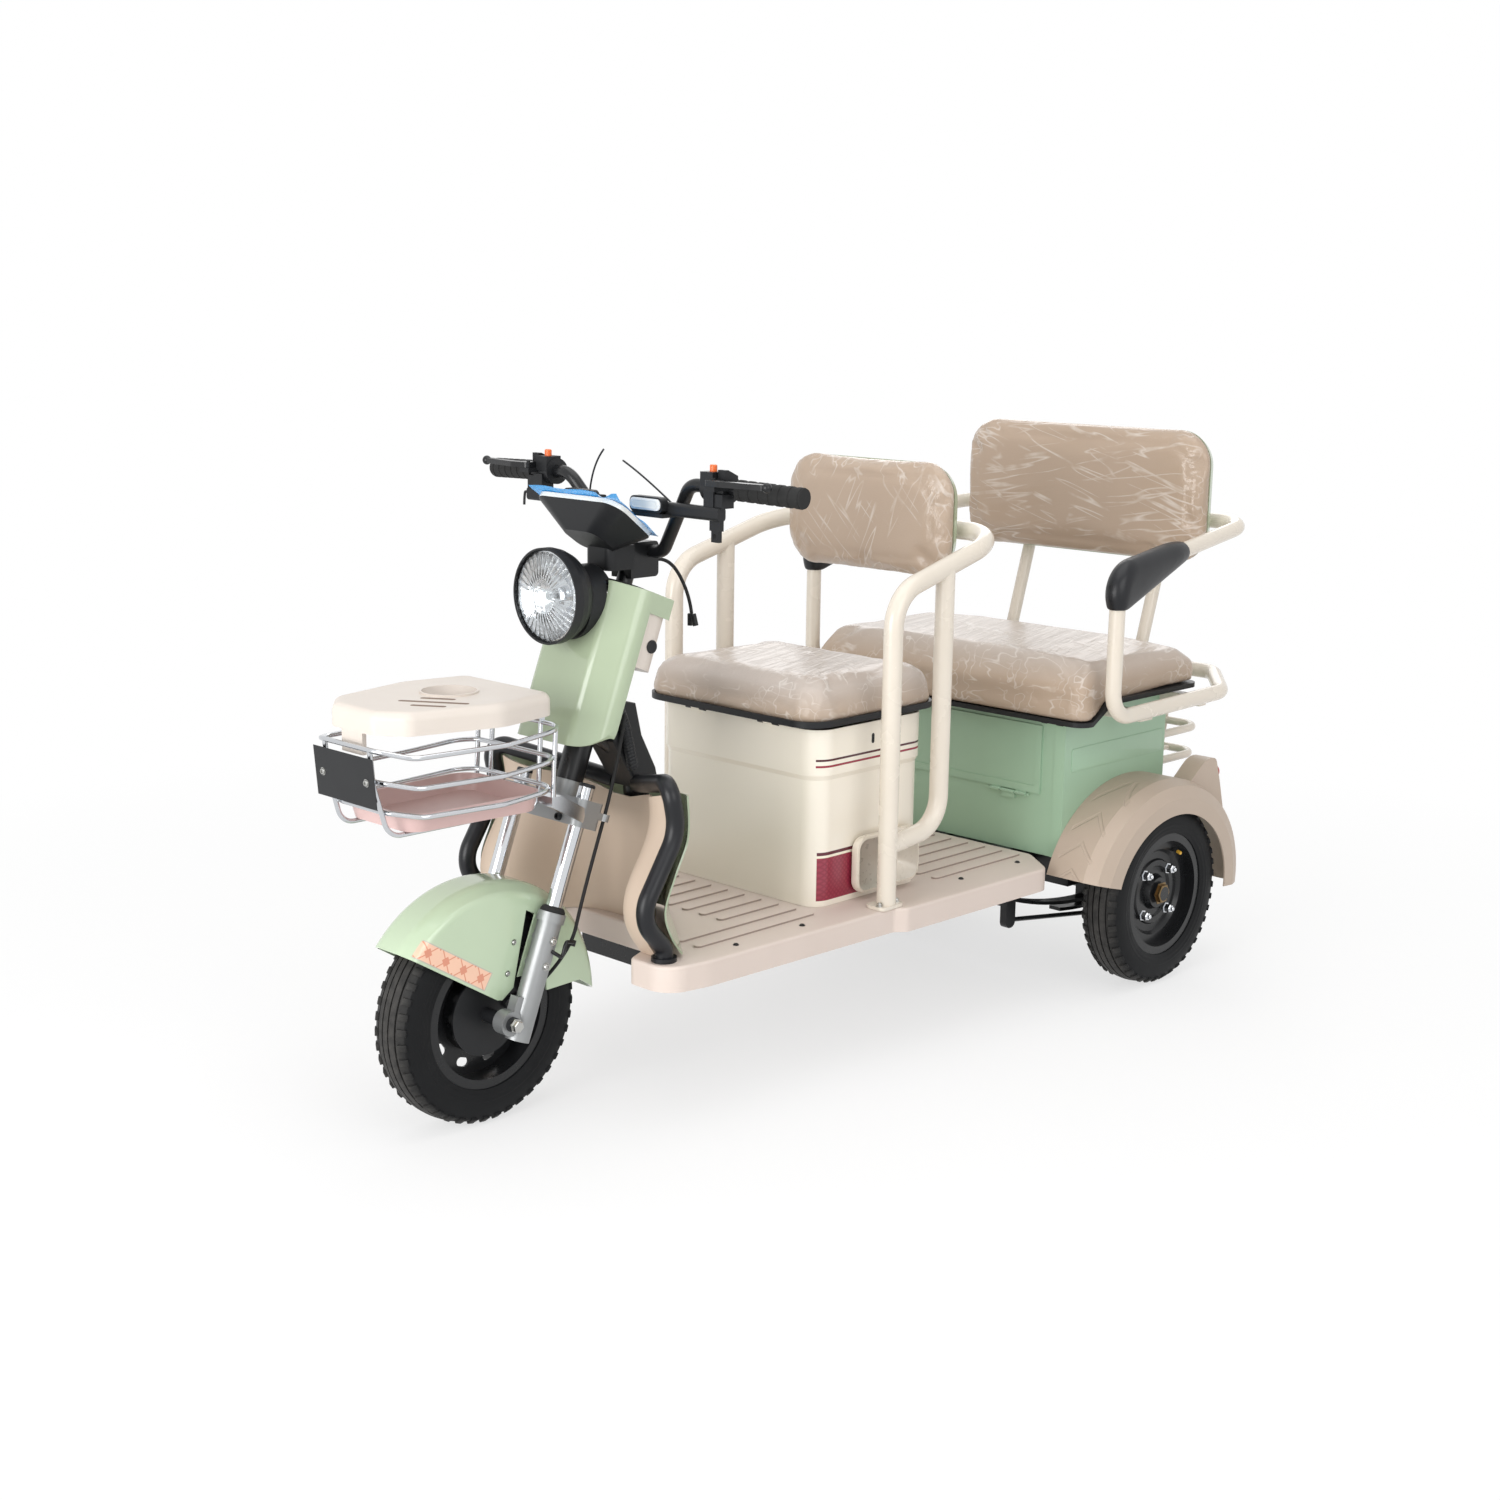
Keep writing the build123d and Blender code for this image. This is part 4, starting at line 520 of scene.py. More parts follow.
@dataclass(frozen=True)
class TyreRubber(Finish):
    """Black tread compound: dusty grey on the worn ribs, ring marks on the side walls."""

    hub_x: float = 0.0
    hub_z: float = 181.0
    # Real dust on the worn tread of the tyre.
    dust_and_shade: str = "#6a6763"
    dust_and_shade_most: float = 0.55
    dust_patch: float = 14.0
    tread: Pair = (0.168, 0.182)
    wall: Pair = (0.128, 0.141)
    ring: float = 0.0045
    ring_height: float = 260.0
    grain_share: float = 0.4

    def radius(self, tree: Tree, place: Socket) -> Socket:
        """Distance from the axle, in metres.

        Args:
            tree: The material's node tree.
            place: Coordinates to read.

        Returns:
            The distance.
        """
        hub = spot(self.hub_x, 0.0, self.hub_z)
        moved = add_node(tree, "Mapping", place, (-hub.x, 0.0, -hub.z), None, (1.0, 0.0, 1.0))
        return add_node(tree, "VectorMath", moved, out="Value", operation="LENGTH")

    def tone(self, tree: Tree, place: Socket) -> Socket:
        """Black, dusted towards the tread.

        Args:
            tree: The material's node tree.
            place: Coordinates to read.

        Returns:
            The colour.
        """
        worn = add_node(tree, "MapRange", self.radius(tree, place), *self.tread, None, self.dust_and_shade_most)
        size = METRE / self.dust_patch
        patch = add_node(tree, "TexNoise", named={"Vector": place, "Scale": size, "Detail": 4.0})
        return self.paint(tree, Finish.tone(self, tree, place), (self.all_of(tree, worn, patch), self.dust_and_shade))

    def height(self, tree: Tree, place: Socket) -> Socket:
        """Moulded rings on the side wall over a fine grain.

        Args:
            tree: The material's node tree.
            place: Coordinates to read.

        Returns:
            The relief.
        """
        away = self.radius(tree, place)
        ring = add_node(tree, "Math", away, self.ring, operation="PINGPONG")
        raised = add_node(tree, "Math", ring, self.ring_height, operation="MULTIPLY")
        lines = self.all_of(tree, raised, self.band(tree, away, *self.wall, soft=0.001))
        grain = Finish.height(self, tree, place)
        return add_node(tree, "Math", grain, self.grain_share, lines, operation="MULTIPLY_ADD")


@dataclass(frozen=True)
class ClearMoulding(Finish):
    """Polycarbonate: clear, with pressed radial flutes."""

    flutes: float = 36.0
    fluted: Pair = (0.030, 0.070)
    centre: Triple = (1258.0, 0.0, 842.0)
    cloud: float = 40.0

    def tone(self, tree: Tree, place: Socket) -> Socket:
        """Water-clear."""
        haze = {"Vector": place, "Scale": METRE / self.cloud, "Detail": 3.0}
        return self.paint(tree, self.colour, (add_node(tree, "TexNoise", named=haze), self.shade))

    def height(self, tree: Tree, place: Socket) -> Socket:
        """Flutes that run outwards, in a ring round the middle.

        Args:
            tree: The material's node tree.
            place: Coordinates to read.

        Returns:
            The relief.
        """
        centre = spot(*self.centre)
        moved = add_node(tree, "Mapping", place, (0.0, -centre.y, -centre.z))
        axes = add_node(tree, "SeparateXYZ", moved).node.outputs
        turn = add_node(tree, "Math", axes[1], axes[2], operation="ARCTAN2")
        phase = add_node(tree, "Math", turn, self.flutes, operation="MULTIPLY")
        wave = add_node(tree, "Math", phase, operation="SINE")
        flat = add_node(tree, "VectorMath", moved, (0.0, 1.0, 1.0), operation="MULTIPLY")
        away = add_node(tree, "VectorMath", flat, out="Value", operation="LENGTH")
        return self.all_of(tree, wave, self.band(tree, away, *self.fluted, soft=0.004))

    def extras(self, tree: Tree, place: Socket) -> dict:
        """Lets the light through."""
        return {"Transmission Weight": 1.0}


@dataclass(frozen=True)
class FenderGloss(Finish):
    """Mint gloss with a strip of reflex lattice along the lower edge of the skirts."""

    tape: str = "#f0c3a8"
    lozenge: str = "#d98e72"
    border: str = "#b9b6a8"
    edge: Pair = (1400.0, 207.0)
    slope: float = 32.0
    skirt: Pair = (0.046, 0.2)
    strip_high: Pair = (0.006, 0.034)
    strip_long: Pair = (0.043, 0.3)
    border_wide: float = 0.0018
    lattice_pitch: float = 0.020
    lozenge_half: float = 0.0085
    line_half: float = 0.0012

    def tone(self, tree: Tree, place: Socket) -> Socket:
        """Mint, with lozenges of tape in a grey border that follows the skirt's edge.

        Args:
            tree: The material's node tree.
            place: Coordinates to read.

        Returns:
            The colour.
        """
        foot = spot(self.edge[0], 0.0, self.edge[1])
        moved = add_node(tree, "VectorMath", place, foot, operation="SUBTRACT")
        flat = add_node(tree, "Mapping", moved, None, (0.0, math.radians(self.slope), 0.0))
        axes = add_node(tree, "SeparateXYZ", flat).node.outputs
        off = add_node(tree, "Math", axes[1], operation="ABSOLUTE")
        side = self.band(tree, off, *self.skirt, soft=0.002)
        cross = []
        for lean in (1.0, -1.0):
            run = add_node(tree, "Math", axes[2], lean, axes[0], operation="MULTIPLY_ADD")
            cross.append(add_node(tree, "Math", run, self.lattice_pitch, operation="PINGPONG"))
        far = add_node(tree, "Math", *cross, operation="MAXIMUM")
        near = add_node(tree, "Math", *cross, operation="MINIMUM")
        lozenges = self.band(tree, far, 0.0, self.lozenge_half)
        lines = self.band(tree, near, 0.0, self.line_half)
        lattice = add_node(tree, "Math", lozenges, lines, operation="MAXIMUM")
        tape = self.paint(tree, self.tape, (lattice, self.lozenge))
        (low, high), (start, end) = self.strip_high, self.strip_long
        colour = Finish.tone(self, tree, place)
        for grow, ink in ((self.border_wide, self.border), (0.0, tape)):
            level = self.band(tree, axes[2], low - grow, high + grow)
            length = self.band(tree, axes[0], start - grow, end)
            colour = self.paint(tree, colour, (self.all_of(tree, level, length, side), ink))
        return colour


class Look(Enum):
    """Finishes of this tricycle, each named for what it is made of."""

    # Moulded gloss ABS: deep even colour with sharp highlights.
    MINT = Finish("mint_gloss_abs", "#a3b194", "#acba9e", 0.16, 0.05,
                  coat=0.5, grain=26.0, relief=0.05, pattern=Pattern.PEEL)
    # The same gloss ABS, painted lighter than MINT as painted light for a face lit fully from the front,
    # with a strip of reflex tape.
    FENDER = FenderGloss("mint_fender_abs", "#b6c9aa", "#bfd1b4", 0.16, 0.05,
                         coat=0.5, grain=26.0, relief=0.05, pattern=Pattern.PEEL)
    # Stoved enamel on tube: creamy, softly glossy, with a little orange peel.
    CREAM_TUBE = Finish("cream_enamel_tube", "#d9cfc0", "#dfd6c9", 0.26, 0.08,
                        coat=0.2, grain=9.0, relief=0.04, pattern=Pattern.PEEL)
    # Moulded polypropylene: satin cream, its grain drawn a little coarse so that it shows.
    CREAM = Finish("cream_satin_pp", "#d3c9bf", "#dad1c8", 0.38, grain=1.6, relief=0.03)
    # Polished polypropylene: warm cream with a soft gloss, and printed foil on one side.
    BOX = SeatBoxPlastic("seat_box_pp", "#f0e8d9", "#f3ecdf", 0.25, 0.03,
                         coat=0.15, drift=420.0, grain=30.0, relief=0.02)
    # Painted shade: dark brown matt plates put in the lid's slots, where the openings show only shade.
    SLOT = Finish("shaded_slot_pp", "#6f5a4a", "#7e6857", 0.60, grain=1.4, relief=0.08)
    # Frosted soft PVC over papers: milky and waxy.
    POCKET = Finish("frosted_pvc", "#ddd2c1", "#ebe3d6", 0.30, 0.12,
                    coat=0.2, drift=36.0, grain=14.0, relief=0.2)
    # Spark-eroded polypropylene: tan and matt, its grain drawn coarse enough to show.
    TAN = Finish("tan_grained_pp", "#c4b09d", "#cdbaa8", 0.52, grain=1.4, relief=0.08)
    # The same polypropylene, darker, with slanting grooves pressed into its crown.
    MUDGUARD = MudguardPlastic("tan_mudguard_pp", "#b3a292", "#bcab9b", 0.46, grain=1.4, relief=0.10)
    # The same polypropylene, paler, with painted shade on the low walls of its ribs.
    FLOOR = FloorPlastic("tan_floor_pp", "#d2c3b9", "#d9cbc2", 0.50, grain=1.4, relief=0.08)
    # Powder-coated sheet steel: flat sage green with a fine peel.
    SAGE = Finish("sage_powder_coat", "#9ebda1", "#a5c3a8", 0.36, 0.10,
                  grain=5.0, relief=0.05, pattern=Pattern.PEEL)
    # Moulded ABS: near black and satin, its fine grain drawn coarse enough to show.
    BLACK = Finish("black_grained_abs", "#1a1b1d", "#222325", 0.42, specular=0.3, grain=1.2, relief=0.06)
    # Sprayed enamel on steel: black, with a softly glossy peel.
    BLACK_STEEL = Finish("black_enamel_steel", "#121315", "#1a1b1d", 0.30, 0.12,
                         coat=0.1, specular=0.35, grain=7.0, relief=0.04, pattern=Pattern.PEEL)
    # Moulded rubber: dull black that reflects little.
    RUBBER = Finish("black_rubber", "#151618", "#1e1f21", 0.55, specular=0.22, grain=1.5, relief=0.10)
    # Self-skinned foam: black with a leathery half gloss.
    FOAM = Finish("skinned_black_foam", "#141518", "#1c1d21", 0.36, 0.12,
                  specular=0.35, grain=2.2, relief=0.08)
    # Tyre compound: matt black, dusty on the tread.
    FRONT_TYRE = TyreRubber("front_tyre_rubber", "#101112", "#17181a", 0.58,
                            specular=0.18, grain=2.5, relief=0.4, hub_x=1408.0)
    # The same compound, its rings round the rear axle.
    REAR_TYRE = TyreRubber("rear_tyre_rubber", "#101112", "#17181a", 0.58,
                           specular=0.18, grain=2.5, relief=0.4, hub_x=0.0)
    # Ground hard chrome on fork tube: mirror bright.
    CHROME = Finish("hard_chrome", "#dcdee1", "#cfd2d6", 0.09, 0.05,
                    metallic=1.0, grain=0.8, relief=0.004, pattern=Pattern.BRUSHED)
    # Sand-cast aluminium, lacquered silver: pitted, with a broad grey gloss.
    CAST = Finish("cast_aluminium", "#9c9e9e", "#909293", 0.40, 0.12,
                  metallic=0.6, grain=2.2, relief=0.05, pattern=Pattern.CAST)
    # Bright nickel on drawn wire: pale metal with long soft highlights.
    WIRE = Finish("nickel_wire", "#d3d5d8", "#c2c5c9", 0.20, 0.10,
                  metallic=1.0, grain=1.0, relief=0.01, pattern=Pattern.BRUSHED)
    # Zinc plate on fasteners: greyer and duller than the wire.
    ZINC = Finish("zinc_plated_steel", "#c9c9c6", "#adadaa", 0.28, 0.12,
                  metallic=1.0, grain=1.2, relief=0.02, pattern=Pattern.BRUSHED)
    # Yellow passivated steel: brassy, with a dull sheen.
    COPPER = Finish("yellow_passivated_steel", "#8d7654", "#6f5b3f", 0.36, 0.14,
                    metallic=1.0, grain=1.0, relief=0.03, pattern=Pattern.BRUSHED)
    # Embossed vinyl in clear film: tan pebbles under wet-looking creases, painted pale as highlights, and
    # film haze with a painted reflection on the top.
    SEAT_VINYL = Leatherette("seat_vinyl_in_film", "#ab9682", "#b4a08d", 0.5,
                             coat=0.55, specular=0.3, grain=2.2, relief=0.12)
    # The same vinyl upright, its film creased steeply, its creases painted pale as highlights.
    DRIVER_VINYL = Leatherette("driver_back_vinyl_in_film", "#ab9682", "#b4a08d", 0.5, coat=0.8,
                               specular=0.3, grain=2.2, relief=0.12, upright=True, leans=(1.1, -0.8))
    # The same vinyl upright and wide, painted a little darker as shade, its film creased along its length,
    # its creases painted pale as highlights.
    BENCH_VINYL = Leatherette("bench_back_vinyl_in_film", "#a8937e", "#b09b88", 0.5, coat=0.8,
                              specular=0.3, grain=2.2, relief=0.12, upright=True, leans=(0.16, -0.3))
    # Moulded polycarbonate: clear as glass, its flutes breaking up what lies behind.
    LENS = ClearMoulding("clear_polycarbonate", "#f4f6f7", "#eceff0", 0.04, 0.02, ior=1.58, relief=0.35)
    # Prismed acrylic: pale and glittering.
    LAMP_LENS = Finish("clear_lamp_acrylic", "#cfd3d6", "#e6e9eb", 0.10, 0.05,
                       coat=0.6, grain=6.0, relief=0.3, pattern=Pattern.CAST)
    # Dyed acrylic with prisms: deep red and glittering.
    RED = Finish("red_acrylic", "#a3161b", "#b51d22", 0.12, 0.05,
                 coat=0.7, grain=4.0, relief=0.2, pattern=Pattern.CAST)
    # Vacuum-coated aluminium on facets: a broken mirror.
    MIRROR = Finish("aluminised_reflector", "#e6e7e9", "#d9dbde", 0.10, 0.06,
                    metallic=1.0, grain=6.0, relief=0.15, pattern=Pattern.CAST)
    # Polished ABS: pale grey with an even gloss.
    PALE = Finish("pale_grey_abs", "#d7d9d7", "#e2e4e2", 0.24, 0.06,
                  coat=0.3, grain=8.0, relief=0.02, pattern=Pattern.PEEL)
    # Blown polyethylene: thin blue film that lets what it covers show a little.
    FILM = Finish("blue_protective_film", "#2f97dc", "#4fb0ec", 0.22, 0.10,
                  coat=0.3, alpha=0.72, grain=30.0, relief=0.6, pattern=Pattern.PEEL)
    # Smoked acrylic: black and mirror smooth, as on a display that is off.
    SCREEN = Finish("smoked_acrylic", "#0e1012", "#15181b", 0.07, 0.03,
                    coat=0.4, grain=40.0, relief=0.02, pattern=Pattern.PEEL)
    # Moulded ABS in a signal colour: even orange with a satin gloss.
    ORANGE = Finish("orange_abs", "#e8682c", "#ee7638", 0.28, grain=1.2, relief=0.02)
    # Moulded polypropylene: dusty pink and satin.
    PINK = Finish("dusty_pink_pp", "#c6a6a2", "#cdb0ac", 0.36, grain=1.5, relief=0.03)
    # Brass-coloured cap: yellow, with a satin gloss.
    YELLOW = Finish("brass_valve_cap", "#d8a93e", "#c99a32", 0.34, grain=1.0, relief=0.02)


def dress(finish: Look, *names: str) -> None:
    """Gives CAD nodes a finish.

    Args:
        finish: The finish.
        *names: Nodes that take it.
    """
    for name in names:
        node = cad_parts[name]
        node.data.materials.clear()
        node.data.materials.append(finish.value.build())


def lone(thing: Optional[Thing] = None) -> None:
    """Leaves only one object selected, in object mode.

    Args:
        thing: The object that stays selected, if any.
    """
    if bpy.context.object and bpy.context.object.mode != "OBJECT":
        bpy.ops.object.mode_set(mode="OBJECT")
    bpy.ops.object.select_all(action="DESELECT")
    if thing:
        thing.select_set(True)
        bpy.context.view_layer.objects.active = thing


def enter() -> None:
    """Opens the active mesh for editing with all of it selected."""
    bpy.ops.object.mode_set(mode="EDIT")
    bpy.ops.mesh.select_all(action="SELECT")


def leave() -> None:
    """Goes back to object mode, with vertices to be selected next."""
    bpy.ops.mesh.select_mode(type="VERT")
    bpy.ops.object.mode_set(mode="OBJECT")


def pick(thing: Thing, test: Callable[[Vector, Vector], bool]) -> None:
    """Opens a mesh for editing with some of its faces selected.

    Args:
        thing: The mesh object.
        test: Says from a face's centre and normal whether it is selected.
    """
    lone(thing)
    bpy.ops.object.mode_set(mode="EDIT")
    bpy.ops.mesh.select_mode(type="FACE")
    bpy.ops.mesh.select_all(action="DESELECT")
    bpy.ops.object.mode_set(mode="OBJECT")
    for face in thing.data.polygons:
        face.select = test(face.center, face.normal)
    bpy.ops.object.mode_set(mode="EDIT")


def sink_top(thing: Thing, rim: float, depth: float) -> None:
    """Sinks the upper face of a piece inside a rim.

    Args:
        thing: The piece, modelled along +Z.
        rim: Width of the rim, in millimetres.
        depth: How far the face goes in, in millimetres.
    """
    pick(thing, lambda centre, normal: normal.z > 0.9)
    bpy.ops.mesh.inset(thickness=rim / METRE, depth=-depth / METRE)
    leave()


def modify(thing: Thing, kind: str, **settings: object) -> None:
    """Adds a modifier and applies it.

    Args:
        thing: The object.
        kind: The modifier's type name.
        **settings: Its properties.
    """
    lone(thing)
    step = thing.modifiers.new(kind.lower(), kind)
    for name, value in settings.items():
        setattr(step, name, value)
    bpy.ops.object.modifier_apply(modifier=step.name)


def smooth(thing: Thing, degrees: float = 35.0) -> None:
    """Shades smooth, with edges sharper than an angle kept."""
    lone(thing)
    bpy.ops.object.shade_smooth_by_angle(angle=math.radians(degrees))


def aim(place: Vector, axis: Vector, spin: float = 0.0) -> Matrix:
    """Matrix that puts a piece modelled along +Z in its place.

    Args:
        place: Where its origin goes.
        axis: Where its +Z points.
        spin: Turn about its own axis in radians.

    Returns:
        The matrix.
    """
    turn_to = axis.to_track_quat("Z", "Y").to_matrix().to_4x4()
    return Matrix.Translation(place) @ turn_to @ Matrix.Rotation(spin, 4, "Z")


def on_left(middle: Vector) -> Matrix:
    """Matrix that lays a plate on a left side, its width along X and its top outwards."""
    return Matrix.Translation(middle) @ Matrix.Rotation(math.radians(-90.0), 4, "X")


def block(low: Vector, high: Vector, bevel: float) -> Thing:
    """Bevelled block between two corners.

    Args:
        low: Lowest corner, in metres.
        high: Highest corner, in metres.
        bevel: Width of its rounded edges, in metres.

    Returns:
        The block.
    """
    lone()
    bpy.ops.mesh.primitive_cube_add(size=1.0, location=(low + high) / 2)
    thing = bpy.context.object
    thing.scale = high - low
    bpy.ops.object.transform_apply(location=True, rotation=True, scale=True)
    modify(thing, "BEVEL", width=bevel, segments=2, limit_method="ANGLE")
    return thing


def turned(profile: Sequence[Pair], sides: int = 32) -> Thing:
    """Turned piece: a circle drawn up through rings of (radius, height) in millimetres.

    Args:
        profile: The rings from first to last; a closed piece ends at radius 0 or at its start.
        sides: Number of sides.

    Returns:
        The piece, standing on +Z at the origin.
    """
    lone()
    tiny = 0.001
    rings = [(max(wide, tiny) / METRE, tall / METRE) for wide, tall in profile]
    radius, height = rings[0]
    bpy.ops.mesh.primitive_circle_add(vertices=sides, radius=radius, location=(0.0, 0.0, height))
    thing = bpy.context.object
    bpy.ops.object.transform_apply(location=True, rotation=True, scale=True)
    enter()
    for wide, tall in rings[1:]:
        bpy.ops.mesh.extrude_region_move(TRANSFORM_OT_translate={"value": (0.0, 0.0, tall - height)})
        grow = wide / radius
        bpy.ops.transform.resize(value=(grow, grow, 1.0), center_override=(0.0, 0.0, tall))
        radius, height = wide, tall
    bpy.ops.mesh.select_all(action="SELECT")
    bpy.ops.mesh.remove_doubles(threshold=0.000004)
    bpy.ops.mesh.normals_make_consistent(inside=False)
    leave()
    smooth(thing, 40.0)
    return thing


def plate(wide: float, tall: float, thick: float, corner: float, edge: float = 0.0) -> Thing:
    """Plate with rounded corners, lying on the XY plane, in millimetres.

    Args:
        wide: Along X.
        tall: Along Y.
        thick: Along Z.
        corner: Radius of its corners.
        edge: Width of its broken edges.

    Returns:
        The plate.
    """
    lone()
    bpy.ops.mesh.primitive_plane_add(size=1.0)
    thing = bpy.context.object
    thing.scale = (wide / METRE, tall / METRE, 1.0)
    bpy.ops.object.transform_apply(location=True, rotation=True, scale=True)
    enter()
    bpy.ops.mesh.bevel(offset=corner / METRE, segments=6, affect="VERTICES")
    bpy.ops.mesh.select_all(action="SELECT")
    bpy.ops.mesh.extrude_region_move(TRANSFORM_OT_translate={"value": (0.0, 0.0, thick / METRE)})
    bpy.ops.mesh.select_all(action="SELECT")
    bpy.ops.mesh.normals_make_consistent(inside=False)
    leave()
    if edge:
        modify(thing, "BEVEL", width=edge / METRE, segments=2, limit_method="ANGLE")
    smooth(thing, 30.0)
    return thing


def grid(size: float, cuts: int) -> Thing:
    """Flat square mesh round the origin, to be formed into a sheet.

    Args:
        size: Its side.
        cuts: Cuts across each side.

    Returns:
        The mesh.
    """
    lone()
    bpy.ops.mesh.primitive_plane_add(size=size)
    enter()
    bpy.ops.mesh.subdivide(number_cuts=cuts)
    leave()
    return bpy.context.object


def smooth_line(name: str, route: Sequence[Vector], steps: int) -> Thing:
    """Draws a smooth line that has a route's points as its control points.

    Args:
        name: Its name.
        route: The points.
        steps: Steps between two points.

    Returns:
        A curve object with one open spline.
    """
    curve = bpy.data.curves.new(name, "CURVE")
    curve.dimensions = "3D"
    curve.resolution_u = steps
    spline = curve.splines.new("NURBS")
    spline.points.add(len(route) - 1)
    for point, place in zip(spline.points, route):
        point.co = (*place, 1.0)
    # The order comes after the points, because before them it stays at straight runs.
    spline.order_u = 3
    spline.use_endpoint_u = True
    thing = bpy.data.objects.new(name, curve)
    bpy.context.scene.collection.objects.link(thing)
    return thing


def thicken(curve: bpy.types.Curve, diameter: float, roundness: int) -> None:
    """Gives a line a round section with closed ends.

    Args:
        curve: The line.
        diameter: Millimetres.
        roundness: Steps of the section.
    """
    curve.bevel_depth = diameter / 2.0 / METRE
    curve.bevel_resolution = roundness
    curve.use_fill_caps = True


def wire(stops: Route, diameter: float) -> Thing:
    """Stiff bent wire along a smooth line.

    Args:
        stops: Control points of the line, in the drawing.
        diameter: Millimetres.

    Returns:
        The wire as a mesh.
    """
    thing = smooth_line("wire", [spot(*stop) for stop in stops], 12)
    thicken(thing.data, diameter, 3)
    lone(thing)
    bpy.ops.object.convert(target="MESH")
    bpy.ops.object.shade_smooth()
    return thing


def hex_nut(width: float, height: float, stud: float = 0.0) -> Thing:
    """Chamfered hexagon nut with a washer on +Z, with the end of its stud.

    Args:
        width: Across the corners, in millimetres.
        height: Of the nut, in millimetres.
        stud: How far the stud stands out, in millimetres.

    Returns:
        The nut.
    """
    washer = (width * 0.62, height * 0.16)
    profile = [(0.0, 0.0), (washer[0], 0.0), washer, (width * 0.5, washer[1])]
    profile += [(width * 0.5, height * 0.9), (width * 0.42, height)]
    if stud:
        profile += [(width * 0.25, height), (width * 0.25, height + stud * 0.85)]
        profile += [(width * 0.2, height + stud)]
    profile += [(0.0, height + stud)]
    nut = turned(profile, 6)
    lone(nut)
    bpy.ops.object.shade_flat()
    return nut


def pan_screw(radius: float, height: float) -> Thing:
    """Round-headed screw with a washer and a socket, on +Z.

    Args:
        radius: Of the head, in millimetres.
        height: Of the head, in millimetres.

    Returns:
        The screw.
    """
    washer = radius * 1.25
    profile = [(0.0, -0.6), (washer, -0.6), (washer, 0.4), (radius, 0.4), (radius, height * 0.6)]
    profile += [(radius * 0.8, height), (radius * 0.5, height)]
    profile += [(radius * 0.46, height * 0.4), (0.0, height * 0.4)]
    return turned(profile, 20)


def placed(thing: Thing, place: Matrix) -> Thing:
    """Puts a piece in its place by its mesh."""
    thing.data.transform(place)
    return thing


def join(things: Sequence[Thing]) -> Thing:
    """Joins objects into the first one.

    Args:
        things: The objects.

    Returns:
        The joined object.
    """
    lone(things[0])
    for thing in things[1:]:
        thing.select_set(True)
    bpy.ops.object.join()
    return bpy.context.object


def twin(thing: Thing) -> Thing:
    """Copies a piece with a mesh of its own.

    Args:
        thing: The piece.

    Returns:
        The copy.
    """
    copy = thing.copy()
    copy.data = thing.data.copy()
    bpy.context.scene.collection.objects.link(copy)
    return copy


def repeat(first: Thing, places: Sequence[Matrix]) -> Thing:
    """Copies a piece to many places and joins the copies.

    Args:
        first: The piece, which is used up.
        places: Where each copy goes.

    Returns:
        One object with all copies.
    """
    copies = [placed(twin(first), place) for place in places]
    bpy.data.objects.remove(first)
    return join(copies)


def both_sides(thing: Thing) -> Thing:
    """Adds a mirror image on the other side of the tricycle.

    Args:
        thing: The left piece.

    Returns:
        Both pieces in one object.
    """
    copy = placed(twin(thing), Matrix.Scale(-1.0, 4, LEFT))
    copy.data.flip_normals()
    return join([thing, copy])


def copied(node: str) -> Thing:
    """Copies a CAD node's mesh to a new object with its loose triangles merged.

    Args:
        node: Name of the node.

    Returns:
        The copy.
    """
    thing = bpy.data.objects.new(node + "_copy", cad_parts[node].data.copy())
    bpy.context.scene.collection.objects.link(thing)
    lone(thing)
    enter()
    bpy.ops.mesh.remove_doubles(threshold=0.00002)
    leave()
    return thing


def deliver(thing: Thing, name: str, look: Look, body: str) -> Thing:
    """Names a finished piece, gives it its finish and puts it on its body.

    Args:
        thing: The piece.
        name: Its name.
        look: Its finish.
        body: The body that it rides on.

    Returns:
        The piece.
    """
    thing.name = name
    thing.data.name = name
    thing.data.materials.clear()
    thing.data.materials.append(look.value.build())
    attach(thing, body)
    LOG.info("%s on %s", name, body)
    return thing


